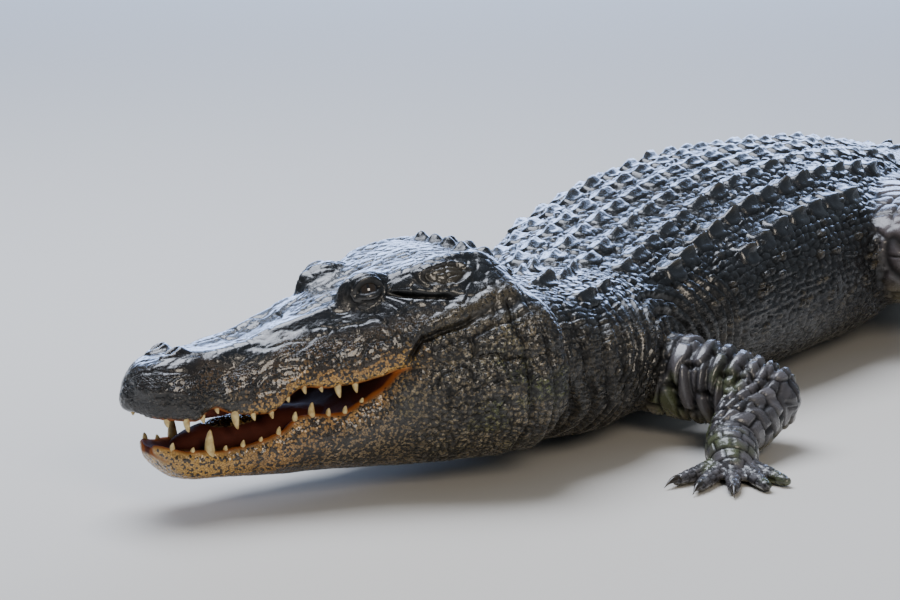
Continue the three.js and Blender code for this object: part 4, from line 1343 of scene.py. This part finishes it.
def eyeMesh(side, node):
    v, u = np.meshgrid(np.linspace(0.01, math.pi - 0.01, 40), np.arange(64) / 64 * 2 * math.pi, indexing="ij")
    outward, ahead3, over3 = eyeWay(side)
    x, y, z = np.sin(v) * np.cos(u), np.sin(v) * np.sin(u), np.cos(v)
    directions = x[..., None] * ahead3 + y[..., None] * over3 + z[..., None] * outward
    centre = headPoint(eyePlace[0], side * eyePlace[1], eyePlace[2])
    points, faces = tube(centre + directions * eyeRadius * 0.985)
    word = "left" if side > 0 else "right"
    piece = meshObject("eye_ball_" + word, points, faces)
    local = np.concatenate([np.stack([x, y, z], -1).reshape(-1, 3), [[0, 0, 1], [0, 0, -1]]])
    # amber iris darkened with painted shade
    tone = np.tile(srgb(eyeLook["shadedIris"]), (len(local), 1))
    far = np.hypot(local[:, 0], local[:, 1])
    tone = mix(tone, srgb(eyeLook["rim"]), step(0.50, 0.62, far))
    slit = np.hypot(local[:, 0] / 0.10, local[:, 1] / 0.42)
    tone = mix(tone, srgb(eyeLook["pupil"]), (1 - step(0.85, 1.15, slit)) * (local[:, 2] > 0))
    paint(piece, tone)
    material, shader = newMaterial("eye_" + word)
    colour = addNode(material, "Attribute", {}, attribute_name="tone")["Color"]
    plug(colour, shader.inputs["Base Color"])
    plug(eyeLook["roughness"], shader.inputs["Roughness"])
    plug(eyeLook["coat"], shader.inputs["Coat Weight"])
    piece.data.materials.append(material)
    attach(piece, "root")
    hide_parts(node)


eyeMesh(1, "eye_left")
eyeMesh(-1, "eye_right")
print("eyes done")


# Claws: dark curved horns on the inner toes
clawLook = dict(colour="17130f", stain="3a3126", roughness=0.3, coat=0.3, grainScale=90)


def clawMesh():
    pieces = []
    for leg in legs:
        claw = legSizes[leg["pair"]]["claw"]
        for _, tip, along, clawed in toesOf(leg)[1]:
            if not clawed:
                continue
            t = np.linspace(0, 1, 14)
            across = np.cross(along, up)
            spine = tip - along * .006 + np.outer(t * (claw + .006), along)
            spine[:, 2] = .0085 + .0035 * np.sin(t * math.pi * 0.9) - .0065 * t ** 2
            size = np.maximum((1 - t ** 1.6) * .0056, .0004)
            angles = np.arange(16) / 16 * 2 * math.pi
            ring = across * np.cos(angles)[:, None] + up * np.sin(angles)[:, None] * 1.05
            rings = spine[:, None, :] + ring[None] * size[:, None, None]
            rings[..., 2] = np.maximum(rings[..., 2], .0003)
            pieces.append(tube(rings))
    points, faces = joined(pieces)
    piece = meshObject("claws", points, faces)
    piece.data.materials.append(plainFinish("claw", clawLook))
    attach(piece, "root")
    print("claws:", len(pieces))


clawMesh()


# Stage: pale floor, pale surroundings and soft lights
stageLook = dict(
    floor="cdc9c1", sky="cfdcec", skyStrength=0.30, aim=(-.4, -.05, .15),
    lights=[  # place, width, height, power, colour
        ("behind", (4.6, 3.2, 1.9), 6.0, 2.6, 370, "b2ccff"),
        ("above", (-.4, .9, 3.4), 2.6, 2.6, 230, "e9f0ff"),
        ("side", (-3.4, -3.6, 2.6), 1.6, 1.6, 95, "fff1de"),
    ],
)


def makeStage():
    bpy.ops.mesh.primitive_plane_add(size=40, location=(0, 0, -.0005))
    floor = bpy.context.object
    floor.name = "floor"
    material, shader = newMaterial("floor")
    plug((*srgb(stageLook["floor"]), 1), shader.inputs["Base Color"])
    plug(0.9, shader.inputs["Roughness"])
    plug(0.1, shader.inputs["Specular IOR Level"])
    floor.data.materials.append(material)
    world = bpy.data.worlds.new("sky")
    bpy.context.scene.world = world
    world.use_nodes = True
    background = world.node_tree.nodes["Background"]
    plug((*srgb(stageLook["sky"]), 1), background.inputs["Color"])
    plug(stageLook["skyStrength"], background.inputs["Strength"])
    for name, place, width, height, power, colour in stageLook["lights"]:
        light = bpy.data.lights.new(name, "AREA")
        light.shape = "RECTANGLE"
        light.size, light.size_y = width, height
        light.energy = power
        light.color = srgb(colour)
        lamp = bpy.data.objects.new(name, light)
        lamp.location = place
        lamp.rotation_euler = (Vector(stageLook["aim"]) - Vector(place)).to_track_quat("-Z", "Y").to_euler()
        bpy.context.scene.collection.objects.link(lamp)


makeStage()


# Camera: the photo's place and lens
cameraLook = dict(place=(-4.898, -2.770, 1.328), way=(.8387, .5446), down=12.5, lens=160)


def makeCamera():
    data = bpy.data.cameras.new("camera")
    data.lens = cameraLook["lens"]
    data.sensor_width = 36
    data.clip_end = 100
    camera = bpy.data.objects.new("camera", data)
    camera.location = cameraLook["place"]
    down = math.radians(cameraLook["down"])
    x, y = cameraLook["way"]
    look = Vector((x * math.cos(down), y * math.cos(down), -math.sin(down)))
    camera.rotation_euler = look.to_track_quat("-Z", "Y").to_euler()
    bpy.context.scene.collection.objects.link(camera)
    bpy.context.scene.camera = camera


makeCamera()
bpy.context.view_layer.update()
